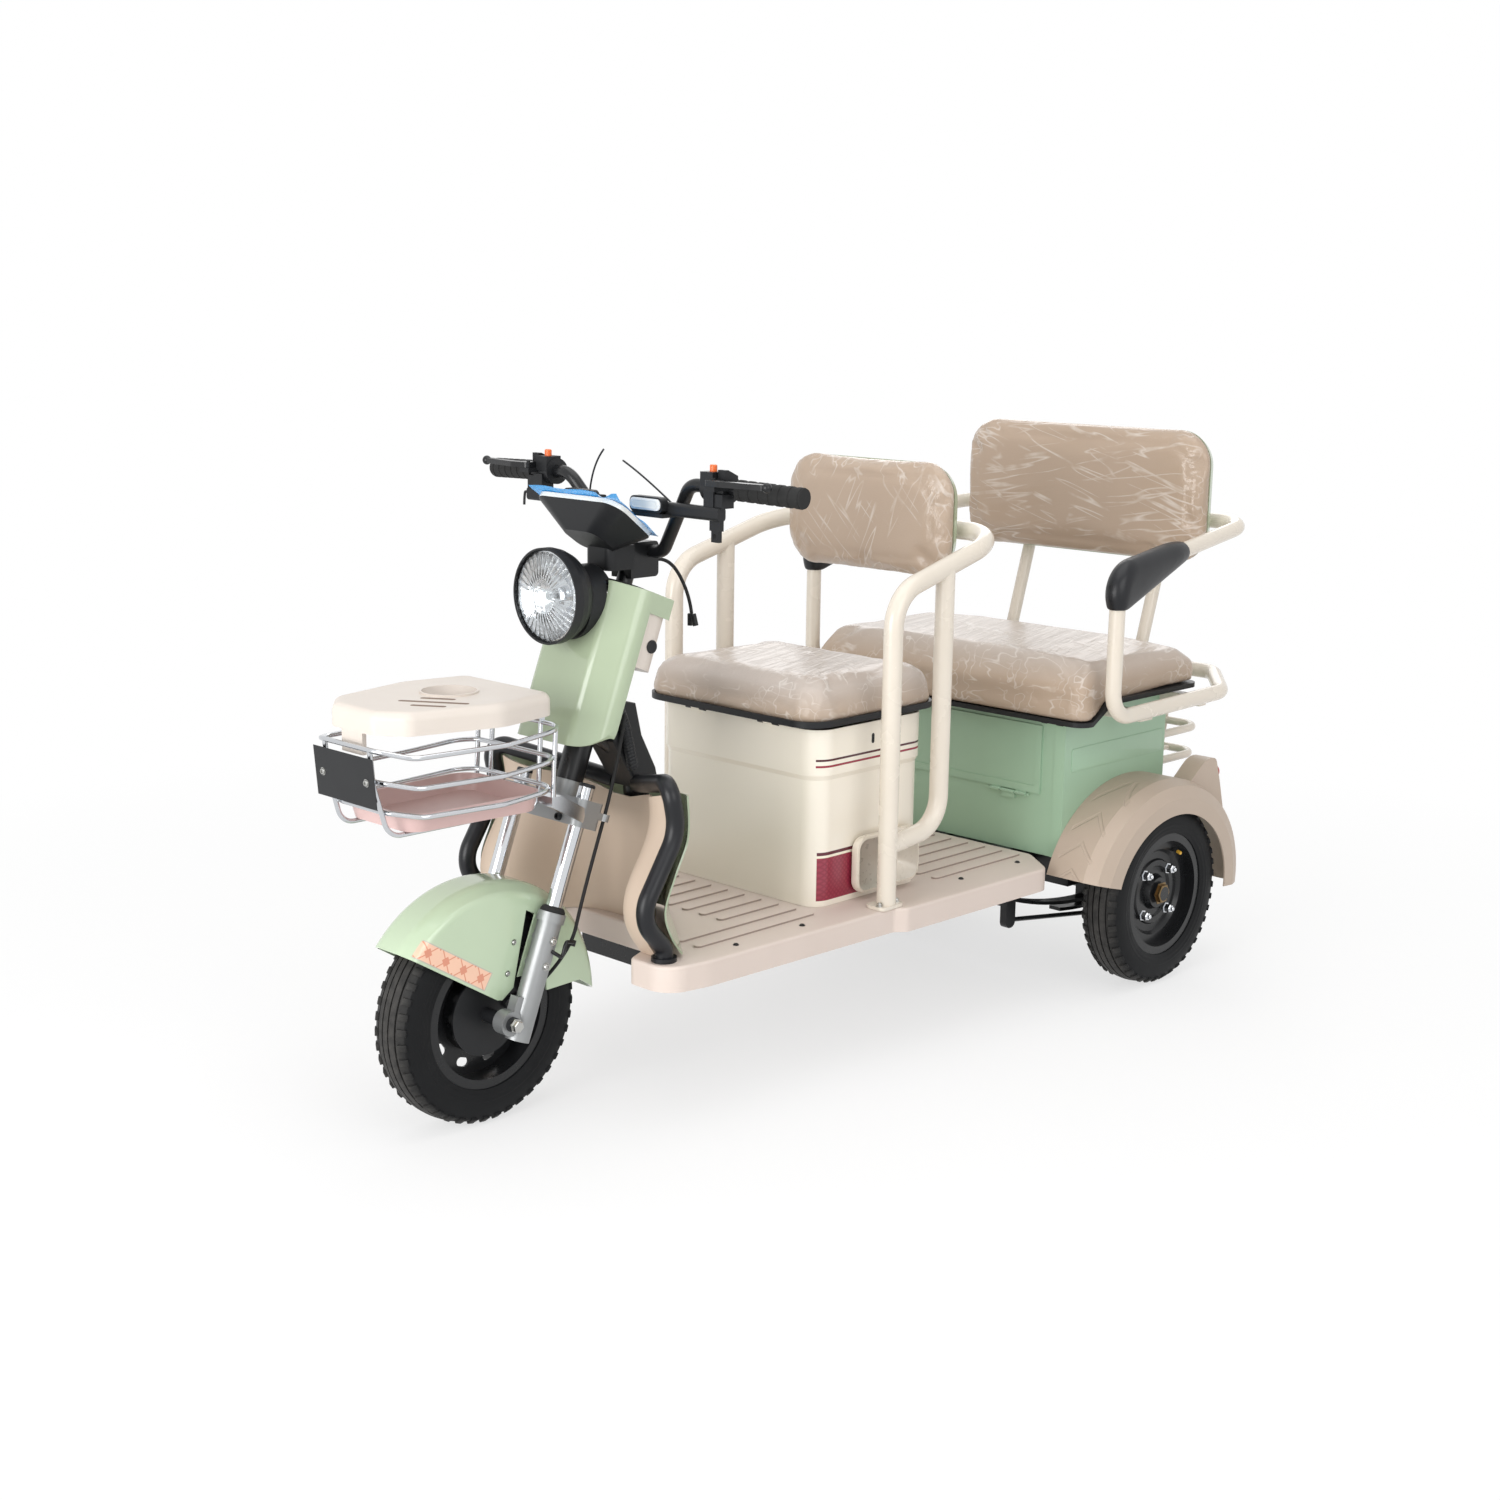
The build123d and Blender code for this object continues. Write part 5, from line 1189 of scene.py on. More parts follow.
@dataclass
class Studio:
    """Camera at the photograph's angle, soft lamps and a pale floor.

    The camera was fitted to the picture: its place in drawing millimetres, its turns in
    degrees and its focal length in pixels of a 1500 pixel frame. Each soft box has a name,
    a place and a side in metres, and watts.
    """

    place: Triple = (3448.2, 2582.1, 1320.2)
    yaw: float = 224.06
    pitch: float = -12.14
    roll: float = 0.795
    focal: float = 2119.7
    frame_size: float = 1500.0
    film: float = 36.0
    boxes: tuple[tuple[str, Triple, float, float], ...] = (
        ("top_box", (0.2, 0.3, 4.2), 3.6, 54.0),
        ("left_box", (1.2, 4.2, 2.6), 2.8, 52.0),
        ("front_box", (4.6, 0.4, 1.3), 2.6, 124.0),
        ("back_box", (-3.8, -2.6, 2.8), 2.6, 36.0),
    )
    boxes_face: Triple = (0.0, 0.0, 0.5)
    sky: Pair = (0.62, 1.0)
    floor_side: float = 60.0
    paper_grey: float = 0.9
    shadow_reach: Pair = (0.9, 2.6)
    paper_glow: Pair = (0.66, 1.0)

    def camera(self) -> None:
        """Sets up the camera."""
        yaw, pitch, roll = (math.radians(angle) for angle in (self.yaw, self.pitch, self.roll))
        look = Vector((math.cos(pitch) * math.cos(yaw), math.cos(pitch) * math.sin(yaw), math.sin(pitch)))
        level = look.cross(UP).normalized()
        upright = level.cross(look)
        right = level * math.cos(roll) + upright * math.sin(roll)
        up = right.cross(look)
        data = bpy.data.cameras.new("camera")
        data.sensor_width = self.film
        data.lens = self.focal / self.frame_size * self.film
        data.clip_end = 100.0
        camera = bpy.data.objects.new("camera", data)
        turn_to = Matrix((right, up, -look)).transposed().to_4x4()
        camera.matrix_world = Matrix.Translation(spot(*self.place)) @ turn_to
        bpy.context.scene.collection.objects.link(camera)
        bpy.context.scene.camera = camera

    def lights(self) -> None:
        """Hangs square soft boxes that face the tricycle."""
        for name, place, side, power in self.boxes:
            data = bpy.data.lights.new(name, "AREA")
            data.size = side
            data.energy = power
            lamp = bpy.data.objects.new(name, data)
            lamp.location = place
            way = Vector(self.boxes_face) - Vector(place)
            lamp.rotation_euler = way.to_track_quat("-Z", "Y").to_euler()
            bpy.context.scene.collection.objects.link(lamp)

    def surroundings(self) -> None:
        """White sky, which lights the tricycle less than it shows."""
        world = bpy.data.worlds.new("studio")
        world.use_nodes = True
        bpy.context.scene.world = world
        tree = world.node_tree
        tree.nodes.clear()
        rays = add_node(tree, "LightPath").node.outputs
        seen = rays["Is Camera Ray"]
        for name in ("Is Glossy Ray", "Is Transmission Ray"):
            seen = add_node(tree, "Math", seen, rays[name], operation="MAXIMUM")
        strength = add_node(tree, "MapRange", seen, None, None, *self.sky)
        add_node(tree, "OutputWorld", add_node(tree, "Background", WHITE, strength))

    def paper(self) -> bpy.types.Material:
        """White paper that shows almost white to the camera and still takes a shadow.

        Returns:
            The floor's material.
        """
        material = bpy.data.materials.new("white_paper")
        material.use_nodes = True
        tree = material.node_tree
        tree.nodes.clear()
        rays = add_node(tree, "LightPath").node.outputs
        seen = add_node(tree, "Math", rays["Is Camera Ray"], rays["Is Glossy Ray"], operation="MAXIMUM")
        place = add_node(tree, "TexCoord", out="Object")
        away = add_node(tree, "VectorMath", place, out="Value", operation="LENGTH")
        fade = add_node(tree, "MapRange", away, *self.shadow_reach, *self.paper_glow)
        share = add_node(tree, "Math", seen, fade, operation="MULTIPLY")
        grey = self.paper_grey
        paper = add_node(tree, "BsdfDiffuse", (grey, grey, grey, 1.0))
        glow = add_node(tree, "Emission", WHITE, 1.0)
        add_node(tree, "OutputMaterial", add_node(tree, "MixShader", share, paper, glow))
        return material

    def floor(self) -> None:
        """Lays out the pale floor."""
        lone()
        bpy.ops.mesh.primitive_plane_add(size=self.floor_side)
        floor = bpy.context.object
        floor.name = "floor"
        floor.data.materials.append(self.paper())

    def build(self) -> None:
        """Sets up the studio."""
        bpy.context.scene.view_settings.view_transform = "Standard"
        self.camera()
        self.lights()
        self.surroundings()
        self.floor()


class Lay(Enum):
    """How a cord is held."""

    HANGING = "hanging"
    TAUT = "taut"


@dataclass
class Cord:
    """A lead or hose on one smooth line through its route, with its sizes in millimetres."""

    name: str
    node: str
    body: str
    slot: str
    route: Sequence[Vector]
    diameter: float
    look: Look
    lay: Lay
    far_end: str = "object"
    rib: float = 0.0
    rib_deep: float = 2.0
    rib_steps: int = 4
    wall: float = 1.2

    def line(self) -> tuple[Thing, list[Vector], float]:
        """Draws the line of the route and measures it.

        Returns:
            A curve with no thickness, points along it from its start, and its length in metres.
        """
        thing = smooth_line(self.name, self.route, 24)
        bpy.context.view_layer.update()
        mesh = bpy.data.meshes.new_from_object(thing)
        places = [vertex.co.copy() for vertex in mesh.vertices]
        bpy.data.meshes.remove(mesh)
        return thing, places, sum((b - a).length for a, b in zip(places, places[1:]))

    def declare(
        self,
        thing: Thing,
    ) -> None:
        """Puts the cord on its body and hides its CAD node.

        Args:
            thing: The cord.
        """
        deliver(thing, self.name, self.look, self.body)
        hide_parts(self.node)

    def build(self, extras: Sequence[Thing] = ()) -> None:
        """Makes a plain round cord.

        Args:
            extras: Pieces on the cord, such as plugs; not used.
        """
        thing, _, length = self.line()
        thicken(thing.data, self.diameter, 5)
        self.declare(thing)

    def rib_places(self, places: Sequence[Vector], length: float) -> list[tuple[Vector, Vector]]:
        """Steps evenly along the line.

        Args:
            places: Points along it.
            length: Its length in metres.

        Returns:
            Each step's place and direction.
        """
        steps = int(length * METRE / self.rib) * self.rib_steps
        stops = []
        for count in range(steps + 1):
            rest = length * count / steps
            for a, b in zip(places, places[1:]):
                run = (b - a).length
                if rest <= run or b is places[-1]:
                    stops.append((a.lerp(b, min(rest / run, 1.0)), (b - a).normalized()))
                    break
                rest -= run
        return stops

    def build_ribbed(self) -> None:
        """Makes a corrugated hose, a ring drawn along the line."""
        guide, places, length = self.line()
        bpy.data.objects.remove(guide)
        (place, way), *stops = self.rib_places(places, length)
        crest = self.diameter / 2.0 / METRE
        root = crest - self.rib_deep / METRE
        lone()
        bpy.ops.mesh.primitive_circle_add(vertices=20, radius=crest)
        thing = placed(bpy.context.object, aim(place, way))
        enter()
        size = crest
        for count, (next_place, _) in enumerate(stops, 1):
            wide = crest if count % self.rib_steps in (0, 1) else root
            bpy.ops.mesh.extrude_region_move(TRANSFORM_OT_translate={"value": tuple(next_place - place)})
            grow = wide / size
            bpy.ops.transform.resize(value=(grow, grow, grow), center_override=tuple(next_place))
            place, size = next_place, wide
        bpy.ops.mesh.select_all(action="SELECT")
        bpy.ops.mesh.normals_make_consistent(inside=False)
        leave()
        modify(thing, "SOLIDIFY", thickness=self.wall / METRE, offset=-1.0)
        smooth(thing, 50.0)
        self.declare(thing)


@dataclass
class Cushion:
    """A foam pad in vinyl, swollen by a short cloth simulation from its CAD form, in metres."""

    node: str
    body: str
    rests: Vector
    cover: Look = Look.SEAT_VINYL
    voxel: float = 0.006
    held: float = 0.016
    pressure: float = 4.0
    reach: float = 0.006
    frames: int = 20
    fill: float = 0.85
    seam: float = 0.0
    seam_corner: float = 0.055
    seam_deep: float = 0.0035
    seam_wide: float = 0.0045

    def base(self, thing: Thing) -> list[int]:
        """Finds the vertices of the face that rests on something.

        Args:
            thing: The remeshed pad.

        Returns:
            Their numbers.
        """
        depth = [vertex.co.dot(self.rests) for vertex in thing.data.vertices]
        limit = max(depth) - self.held
        return [count for count, value in enumerate(depth) if value > limit]

    def swell(self, thing: Thing) -> None:
        """Blows the pad up a little and keeps the result in its mesh.

        Args:
            thing: The remeshed pad.
        """
        before = [vertex.co.copy() for vertex in thing.data.vertices]
        group = thing.vertex_groups.new(name="held")
        group.add(self.base(thing), 1.0, "REPLACE")
        cloth = thing.modifiers.new("cloth", "CLOTH")
        settings = cloth.settings
        settings.quality = 5
        settings.mass = 0.3
        settings.use_pressure = True
        settings.uniform_pressure_force = self.pressure
        settings.vertex_group_mass = "held"
        settings.effector_weights.gravity = 0.0
        settings.shrink_min = -0.012
        cloth.point_cache.frame_end = self.frames
        scene = bpy.context.scene
        for count in range(1, self.frames + 1):
            scene.frame_set(count)
        view = bpy.context.evaluated_depsgraph_get()
        mesh = bpy.data.meshes.new_from_object(thing.evaluated_get(view))
        after = [vertex.co.copy() for vertex in mesh.vertices]
        bpy.data.meshes.remove(mesh)
        thing.modifiers.remove(cloth)
        thing.vertex_groups.clear()
        scene.frame_set(1)
        for vertex, old, new in zip(thing.data.vertices, before, after):
            move = new - old
            vertex.co = old + move * min(1.0, self.reach / max(move.length, 1e-9))

    def sew(self, thing: Thing) -> None:
        """Draws in a seam that follows the outline of a backrest's face.

        Args:
            thing: The pad, facing +X.
        """
        low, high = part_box(self.node)
        middle, half = (low + high) / 2, (high - low) / 2
        corner = self.seam_corner
        for vertex in thing.data.vertices:
            if vertex.co.x < middle.x:
                continue
            away = [abs(vertex.co[i] - middle[i]) - (half[i] - self.seam - corner) for i in (1, 2)]
            outside = math.hypot(max(away[0], 0.0), max(away[1], 0.0)) + min(max(away), 0.0) - corner
            vertex.co.x -= self.seam_deep * math.exp(-((outside / self.seam_wide) ** 2))

    def build(self) -> None:
        """Makes the cushion, which stands for its CAD node."""
        thing = copied(self.node)
        modify(thing, "REMESH", mode="VOXEL", voxel_size=self.voxel)
        self.swell(thing)
        if self.seam:
            self.sew(thing)
        modify(thing, "SMOOTH", factor=0.5, iterations=4)
        lone(thing)
        bpy.ops.object.shade_smooth()
        deliver(thing, self.node + "_cover", self.cover, self.body)
        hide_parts(self.node)


@dataclass
class Chassis:
    """Frame, floor, front leg shield and the axle under the rear box."""

    screw_rows: Sizes = (300.0, 470.0, 900.0, 1060.0)
    screw_side: float = 245.0
    screw_size: Pair = (4.2, 2.4)
    screw_seat: float = 273.4

    def dress(self) -> None:
        """Gives the CAD nodes their finishes."""
        dress(Look.BLACK_STEEL, "main_frame", "rear_axle")
        dress(Look.CAST, "drive_motor")
        dress(Look.FLOOR, "floor_board")
        dress(Look.TAN, "leg_shield_front")
        dress(Look.FOAM, "guard_tubes")
        dress(Look.BLACK, "neck_cover", "battery_pack")

    def floor_screws(self) -> None:
        """Screws that hold the floor to the rails."""
        places = []
        for x in self.screw_rows:
            for side in SIDES:
                places.append(aim(spot(x, side * self.screw_side, self.screw_seat), UP))
        screws = repeat(pan_screw(*self.screw_size), places)
        deliver(screws, "floor_screws", Look.BLACK_STEEL, "chassis")

    def build(self) -> None:
        """Builds and dresses the chassis."""
        self.dress()
        self.floor_screws()


@dataclass
class Cowl:
    """Front cowl with its headlight, the rear leg shield and the wiring hose.

    The shield has rows of its edge's x, their z, and how deep it is hollowed there. Its
    heights are those of its foot, of the dip in the middle and of its brows.
    """

    lamp: Triple = (1258.0, 0.0, 842.0)
    bezel: Profile = ((74.6, -9.0), (74.6, -4.0), (71.6, -3.0), (67.6, -8.0), (67.6, -9.0), (74.6, -9.0))
    bulb: Profile = ((0.0, -23.0), (7.0, -22.0), (9.0, -14.0), (6.5, -8.0), (0.0, -6.0))
    shield_rows: Route = (
        (1167.0, 273.0, 160.0), (1195.0, 312.0, 175.0), (1209.0, 356.0, 186.0),
        (1187.0, 412.0, 178.0), (1160.0, 470.0, 160.0), (1162.0, 548.0, 160.0))
    shield_heights: Triple = (278.6, 483.0, 539.0)
    shield_half: float = 233.0
    shield_dip: Pair = (20.0, 205.0)
    shield_bend: float = 0.18
    shield_rim: float = 1.016
    shield_neck: float = 999.0
    shield_neck_half: float = 42.0
    shield_cells: int = 47
    shield_thick: float = 3.0
    plug: Profile = ((0.0, 0.0), (11.0, 0.0), (11.0, 1.6), (9.5, 2.6), (7.0, 2.0), (0.0, 2.0))
    plug_place: Triple = (-4.0, 100.4, 268.0)
    hose: Route = (
        (1154.0, 46.25, 672.0), (1133.0, 46.25, 640.0), (1120.0, 46.25, 600.0), (1108.0, 46.25, 548.0))
    hose_diameter: float = 20.0
    hose_rib: float = 6.0

    def dress(self) -> None:
        """Gives the CAD nodes their finishes."""
        dress(Look.MINT, "front_cowl")
        dress(Look.CREAM, "cowl_back")
        dress(Look.RUBBER, "stem_boot")
        dress(Look.BLACK, "headlight_shell")
        dress(Look.MIRROR, "headlight_reflector")
        dress(Look.LENS, "headlight_lens")

    def headlight(self) -> None:
        """Bright ring inside the rim of the lamp, and the bulb."""
        place = aim(spot(*self.lamp), AHEAD)
        ring = placed(turned(self.bezel, 64), place)
        deliver(ring, "lamp_bezel", Look.CHROME, "chassis")
        bulb = placed(turned(self.bulb, 24), place)
        deliver(bulb, "lamp_bulb", Look.LAMP_LENS, "chassis")

    def shield_row(self, height: float) -> Vector:
        """Edge and hollow of the rear shield at a height.

        Args:
            height: Millimetres above the ground.

        Returns:
            Drawing x of the edge and depth of the hollow, on smooth curves through the rows.
        """
        rows = [(z, Vector((x, deep))) for x, z, deep in self.shield_rows]
        last = len(rows) - 2
        at = max(i for i in range(last + 1) if i == 0 or rows[i][0] <= height)
        (z0, low), (z1, high) = rows[at], rows[at + 1]
        before, after = rows[max(0, at - 1)], rows[min(last + 1, at + 2)]
        rise0 = (high - before[1]) / (z1 - before[0]) * (z1 - z0)
        rise1 = (after[1] - low) / (after[0] - z0) * (z1 - z0)
        t = (height - z0) / (z1 - z0)
        cubic = 2.0 * low - 2.0 * high + rise0 + rise1
        square = 3.0 * high - 3.0 * low - 2.0 * rise0 - rise1
        return cubic * t**3 + square * t**2 + rise0 * t + low

    def shield(self) -> None:
        """Rear leg shield, hollowed towards the middle and cut under the guard bars."""
        shell = grid(2.0, self.shield_cells)
        low, dip, brow = self.shield_heights
        flat, climb = self.shield_dip
        rim, bend = self.shield_rim, self.shield_bend
        for vertex in shell.data.vertices:
            across, share = abs(vertex.co.x), (vertex.co.y + 1.0) / 2.0
            top = dip + (brow - dip) * min(1.0, max(0.0, (across * self.shield_half - flat) / climb))
            z = low + share * (top - low)
            y = vertex.co.x * self.shield_half
            edge, deep = self.shield_row(z)
            hollow = (rim - math.hypot(across, bend)) / (rim - bend)
            x = edge - deep * hollow
            behind = max(0.0, edge - deep - self.shield_neck)
            x -= behind * math.exp(-((y / self.shield_neck_half) ** 6))
            vertex.co = spot(x, y, z)
        modify(shell, "SOLIDIFY", thickness=self.shield_thick / METRE, offset=0.0)
        smooth(shell, 40.0)
        deliver(shell, "rear_leg_shield", Look.MINT, "chassis")
        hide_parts("leg_shield_back")

    def plugs(self) -> None:
        """Round blind plugs on the sides of the cream back cover."""
        plug = placed(turned(self.plug, 28), aim(fork_spot(*self.plug_place), LEFT))
        deliver(both_sides(plug), "cowl_plugs", Look.BLACK, "chassis")

    def wiring(self) -> None:
        """Corrugated hose from the cowl down beside the neck."""
        route = [spot(*stop) for stop in self.hose]
        cord = Cord("wiring_hose", "wiring_conduit", "chassis", "black_plastic", route,
                    self.hose_diameter, Look.BLACK, Lay.TAUT, rib=self.hose_rib)
        cord.build_ribbed()

    def build(self) -> None:
        """Builds and dresses the cowl."""
        self.dress()
        self.headlight()
        self.shield()
        self.plugs()
        self.wiring()


@dataclass
class DriverSeat:
    """Seat box, arm frame and the driver's two cushions.

    A plate's form is its thickness, the radius of its corners and the width of its edges.
    """

    foot_middle: Triple = (711.0, 274.0, 279.5)
    foot_reach: float = 23.0
    foot_nut: Triple = (10.0, 5.0, 2.0)
    slot_place: Triple = (676.0, 199.6, 560.0)
    slot_size: Sizes = (18.0, 7.0, 0.8, 3.4)
    pocket_x: Pair = (556.0, 726.0)
    pocket_z: Pair = (286.0, 388.0)
    pocket_form: Triple = (15.6, 24.0, 3.0)
    pocket_sunk: Pair = (4.0, 0.4)
    seam: float = 0.032

    def dress(self) -> None:
        """Gives the CAD nodes their finishes."""
        dress(Look.BOX, "driver_box")
        dress(Look.CREAM_TUBE, "driver_arm_frame")
        dress(Look.MINT, "driver_backrest_shell")
        dress(Look.BLACK, "driver_seat_pan")

    def foot_bolts(self) -> None:
        """Bolts through the feet of the arm frame."""
        x, y, z = self.foot_middle
        places = []
        for side in SIDES:
            for end in SIDES:
                places.append(aim(spot(x + end * self.foot_reach, side * y, z), UP))
        bolts = repeat(hex_nut(*self.foot_nut), places)
        deliver(bolts, "arm_foot_bolts", Look.ZINC, "chassis")

    def pocket(self) -> None:
        """Frosted pocket for papers on the left side of the box."""
        (rear, front), (low, high) = self.pocket_x, self.pocket_z
        pouch = plate(front - rear, high - low, *self.pocket_form)
        sink_top(pouch, *self.pocket_sunk)
        middle = spot((rear + front) / 2.0, self.slot_place[1], (low + high) / 2.0)
        deliver(placed(pouch, on_left(middle)), "box_pocket", Look.POCKET, "chassis")

    def slot(self) -> None:
        """Painted shade: a black plate standing for the shaded opening of the finger slot in the left side
        of the box.
        """
        finger_slot_shade = plate(*self.slot_size)
        place = aim(spot(*self.slot_place), LEFT, math.radians(90.0))
        deliver(placed(finger_slot_shade, place), "box_slot", Look.BLACK, "chassis")

    def build(self) -> None:
        """Builds and dresses the seat."""
        self.dress()
        self.foot_bolts()
        self.pocket()
        self.slot()
        Cushion("driver_seat_pad", "driver_seat", -UP).build()
        Cushion("driver_backrest_pad", "chassis", -AHEAD, Look.DRIVER_VINYL, seam=self.seam).build()


@dataclass
class RearSeat:
    """Sheet-steel box, bench, arm loop, basket rails and mudguards."""

    pad_voxel: float = 0.003
    pad_rounds: int = 14
    pad_fill: float = 0.95
    swage_x: Pair = (-120.0, 186.0)
    swage_y: float = 277.8
    swage_z: float = 458.0
    swage_tall: float = 46.0
    swage_form: Triple = (1.6, 6.0, 1.2)
    seam: float = 0.032

    def dress(self) -> None:
        """Gives the CAD nodes their finishes."""
        dress(Look.SAGE, "rear_box", "rear_box_door")
        dress(Look.BLACK, "rear_seat_pan")
        dress(Look.CREAM_TUBE, "rear_arm_frame", "rear_basket")
        dress(Look.MINT, "rear_backrest_shell")
        dress(Look.MUDGUARD, "rear_mudguards")
        dress(Look.RED, "tail_lamps")

    def armrests(self) -> None:
        """Moulded foam sleeves that droop over the front bends."""
        thing = copied("armrest_pads")
        pick(thing, lambda centre, normal: centre.y < 0.0)
        bpy.ops.mesh.delete(type="FACE")
        bpy.ops.mesh.select_all(action="SELECT")
        bpy.ops.mesh.convex_hull()
        leave()
        thing = both_sides(thing)
        modify(thing, "REMESH", mode="VOXEL", voxel_size=self.pad_voxel)
        modify(thing, "SMOOTH", factor=0.5, iterations=self.pad_rounds)
        bpy.ops.object.shade_smooth()
        deliver(thing, "armrest_sleeves", Look.FOAM, "chassis")
        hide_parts("armrest_pads")

    def swages(self) -> None:
        """Shallow pressed bands along the sides of the box."""
        low, high = self.swage_x
        band = plate(high - low, self.swage_tall, *self.swage_form)
        band = placed(band, on_left(spot((low + high) / 2.0, self.swage_y, self.swage_z)))
        deliver(both_sides(band), "box_swages", Look.SAGE, "chassis")

    def build(self) -> None:
        """Builds and dresses the rear seat."""
        self.dress()
        self.armrests()
        self.swages()
        Cushion("rear_seat_pad", "rear_seat", -UP).build()
        Cushion("rear_backrest_pad", "chassis", -AHEAD, Look.BENCH_VINYL, seam=self.seam).build()


@dataclass
class Wheel:
    """One wheel: ribbed tyre with shoulder lugs, pressed rim, nuts and valve."""

    name: str
    hub: Triple
    look: Look
    nuts: bool = True
    lugs: int = 44
    lug_low: Triple = (-0.006, -0.008, -0.003)
    lug_high: Triple = (0.006, 0.008, 0.0035)
    lug_side: float = 32.0
    lug_radius: float = 172.4
    lug_tilt: float = 38.0
    lug_bevel: float = 0.0012
    nut: Triple = (18.0, 15.0, 5.0)
    nut_circle: float = 57.0
    nut_face: float = 13.0
    nut_spin: float = 0.3
    shaft_nut: Pair = (38.0, 8.6)
    shaft_face: float = 27.2
    shaft_spin: float = 0.5
    valve_lean: Pair = (0.25, -0.2)
    valve_turn: float = 2.2
    valve_radius: float = 95.0
    valve_face: float = 16.0
    stem: Profile = ((0.0, -6.0), (4.5, -6.0), (4.0, 6.0), (2.6, 8.0), (2.6, 12.0), (0.0, 12.0))
    cap: Profile = ((0.0, 11.0), (3.6, 11.0), (3.6, 19.0), (3.0, 20.5), (0.0, 20.5))

    def outward(self) -> float:
        """Side of the tricycle that the wheel is on."""
        return -1.0 if self.hub[1] < 0.0 else 1.0

    def spoke(self, turn: float, radius: float, face: float) -> Vector:
        """Point on the outer side of the wheel.

        Args:
            turn: Radians round the axle.
            radius: Millimetres from the axle.
            face: Millimetres outwards from the hub.

        Returns:
            The point in metres.
        """
        x, y, z = self.hub
        side = self.outward() * face
        return spot(x + radius * math.cos(turn), y + side, z + radius * math.sin(turn))

    def add(self, thing: Thing, name: str, look: Look, slot: str) -> None:
        """Delivers a piece that turns with the wheel."""
        deliver(thing, self.name + name, look, self.name + "_wheel")

    def dress(self) -> None:
        """Gives the CAD nodes their finishes."""
        dress(self.look, self.name + "_tyre")
        dress(Look.BLACK_STEEL, self.name + "_rim")

    def tread(self) -> None:
        """Shoulder lugs on both edges of the tread, in turn."""
        lug = block(Vector(self.lug_low), Vector(self.lug_high), self.lug_bevel)
        smooth(lug, 30.0)
        hub = Matrix.Translation(spot(*self.hub))
        places = []
        for count in range(self.lugs):
            for side in SIDES:
                turn = math.tau * (count + (0.5 if side > 0.0 else 0.0)) / self.lugs
                lean = Matrix.Rotation(math.radians(-self.lug_tilt * side), 4, "X")
                out = Matrix.Translation((0.0, side * self.lug_side / METRE, self.lug_radius / METRE))
                places.append(hub @ Matrix.Rotation(turn, 4, "Y") @ out @ lean)
        self.add(repeat(lug, places), "_lugs", self.look, "tyre_rubber")

    def valve(self) -> None:
        """Tyre valve with its cap."""
        ahead, up = self.valve_lean
        way = Vector((ahead, self.outward(), up)).normalized()
        place = aim(self.spoke(self.valve_turn, self.valve_radius, self.valve_face), way)
        self.add(placed(turned(self.stem, 16), place), "_valve", Look.RUBBER, "black_rubber")
        self.add(placed(turned(self.cap, 16), place), "_valve_cap", Look.YELLOW, "orange_plastic")

    def bolts(self) -> None:
        """Lug nuts on the dish and the nut on the stub shaft."""
        axis = LEFT * self.outward()
        places = []
        for quarter in range(4):
            turn = math.radians(45.0 + 90.0 * quarter)
            places.append(aim(self.spoke(turn, self.nut_circle, self.nut_face), axis, self.nut_spin))
        self.add(repeat(hex_nut(*self.nut), places), "_nuts", Look.CHROME, "bright_chrome")
        end = aim(self.spoke(0.0, 0.0, self.shaft_face), axis, self.shaft_spin)
        shaft = placed(hex_nut(*self.shaft_nut), end)
        deliver(shaft, self.name + "_axle_nut", Look.COPPER, "chassis")

    def build(self) -> None:
        """Builds and dresses the wheel."""
        self.dress()
        self.tread()
        self.valve()
        if self.nuts:
            self.bolts()


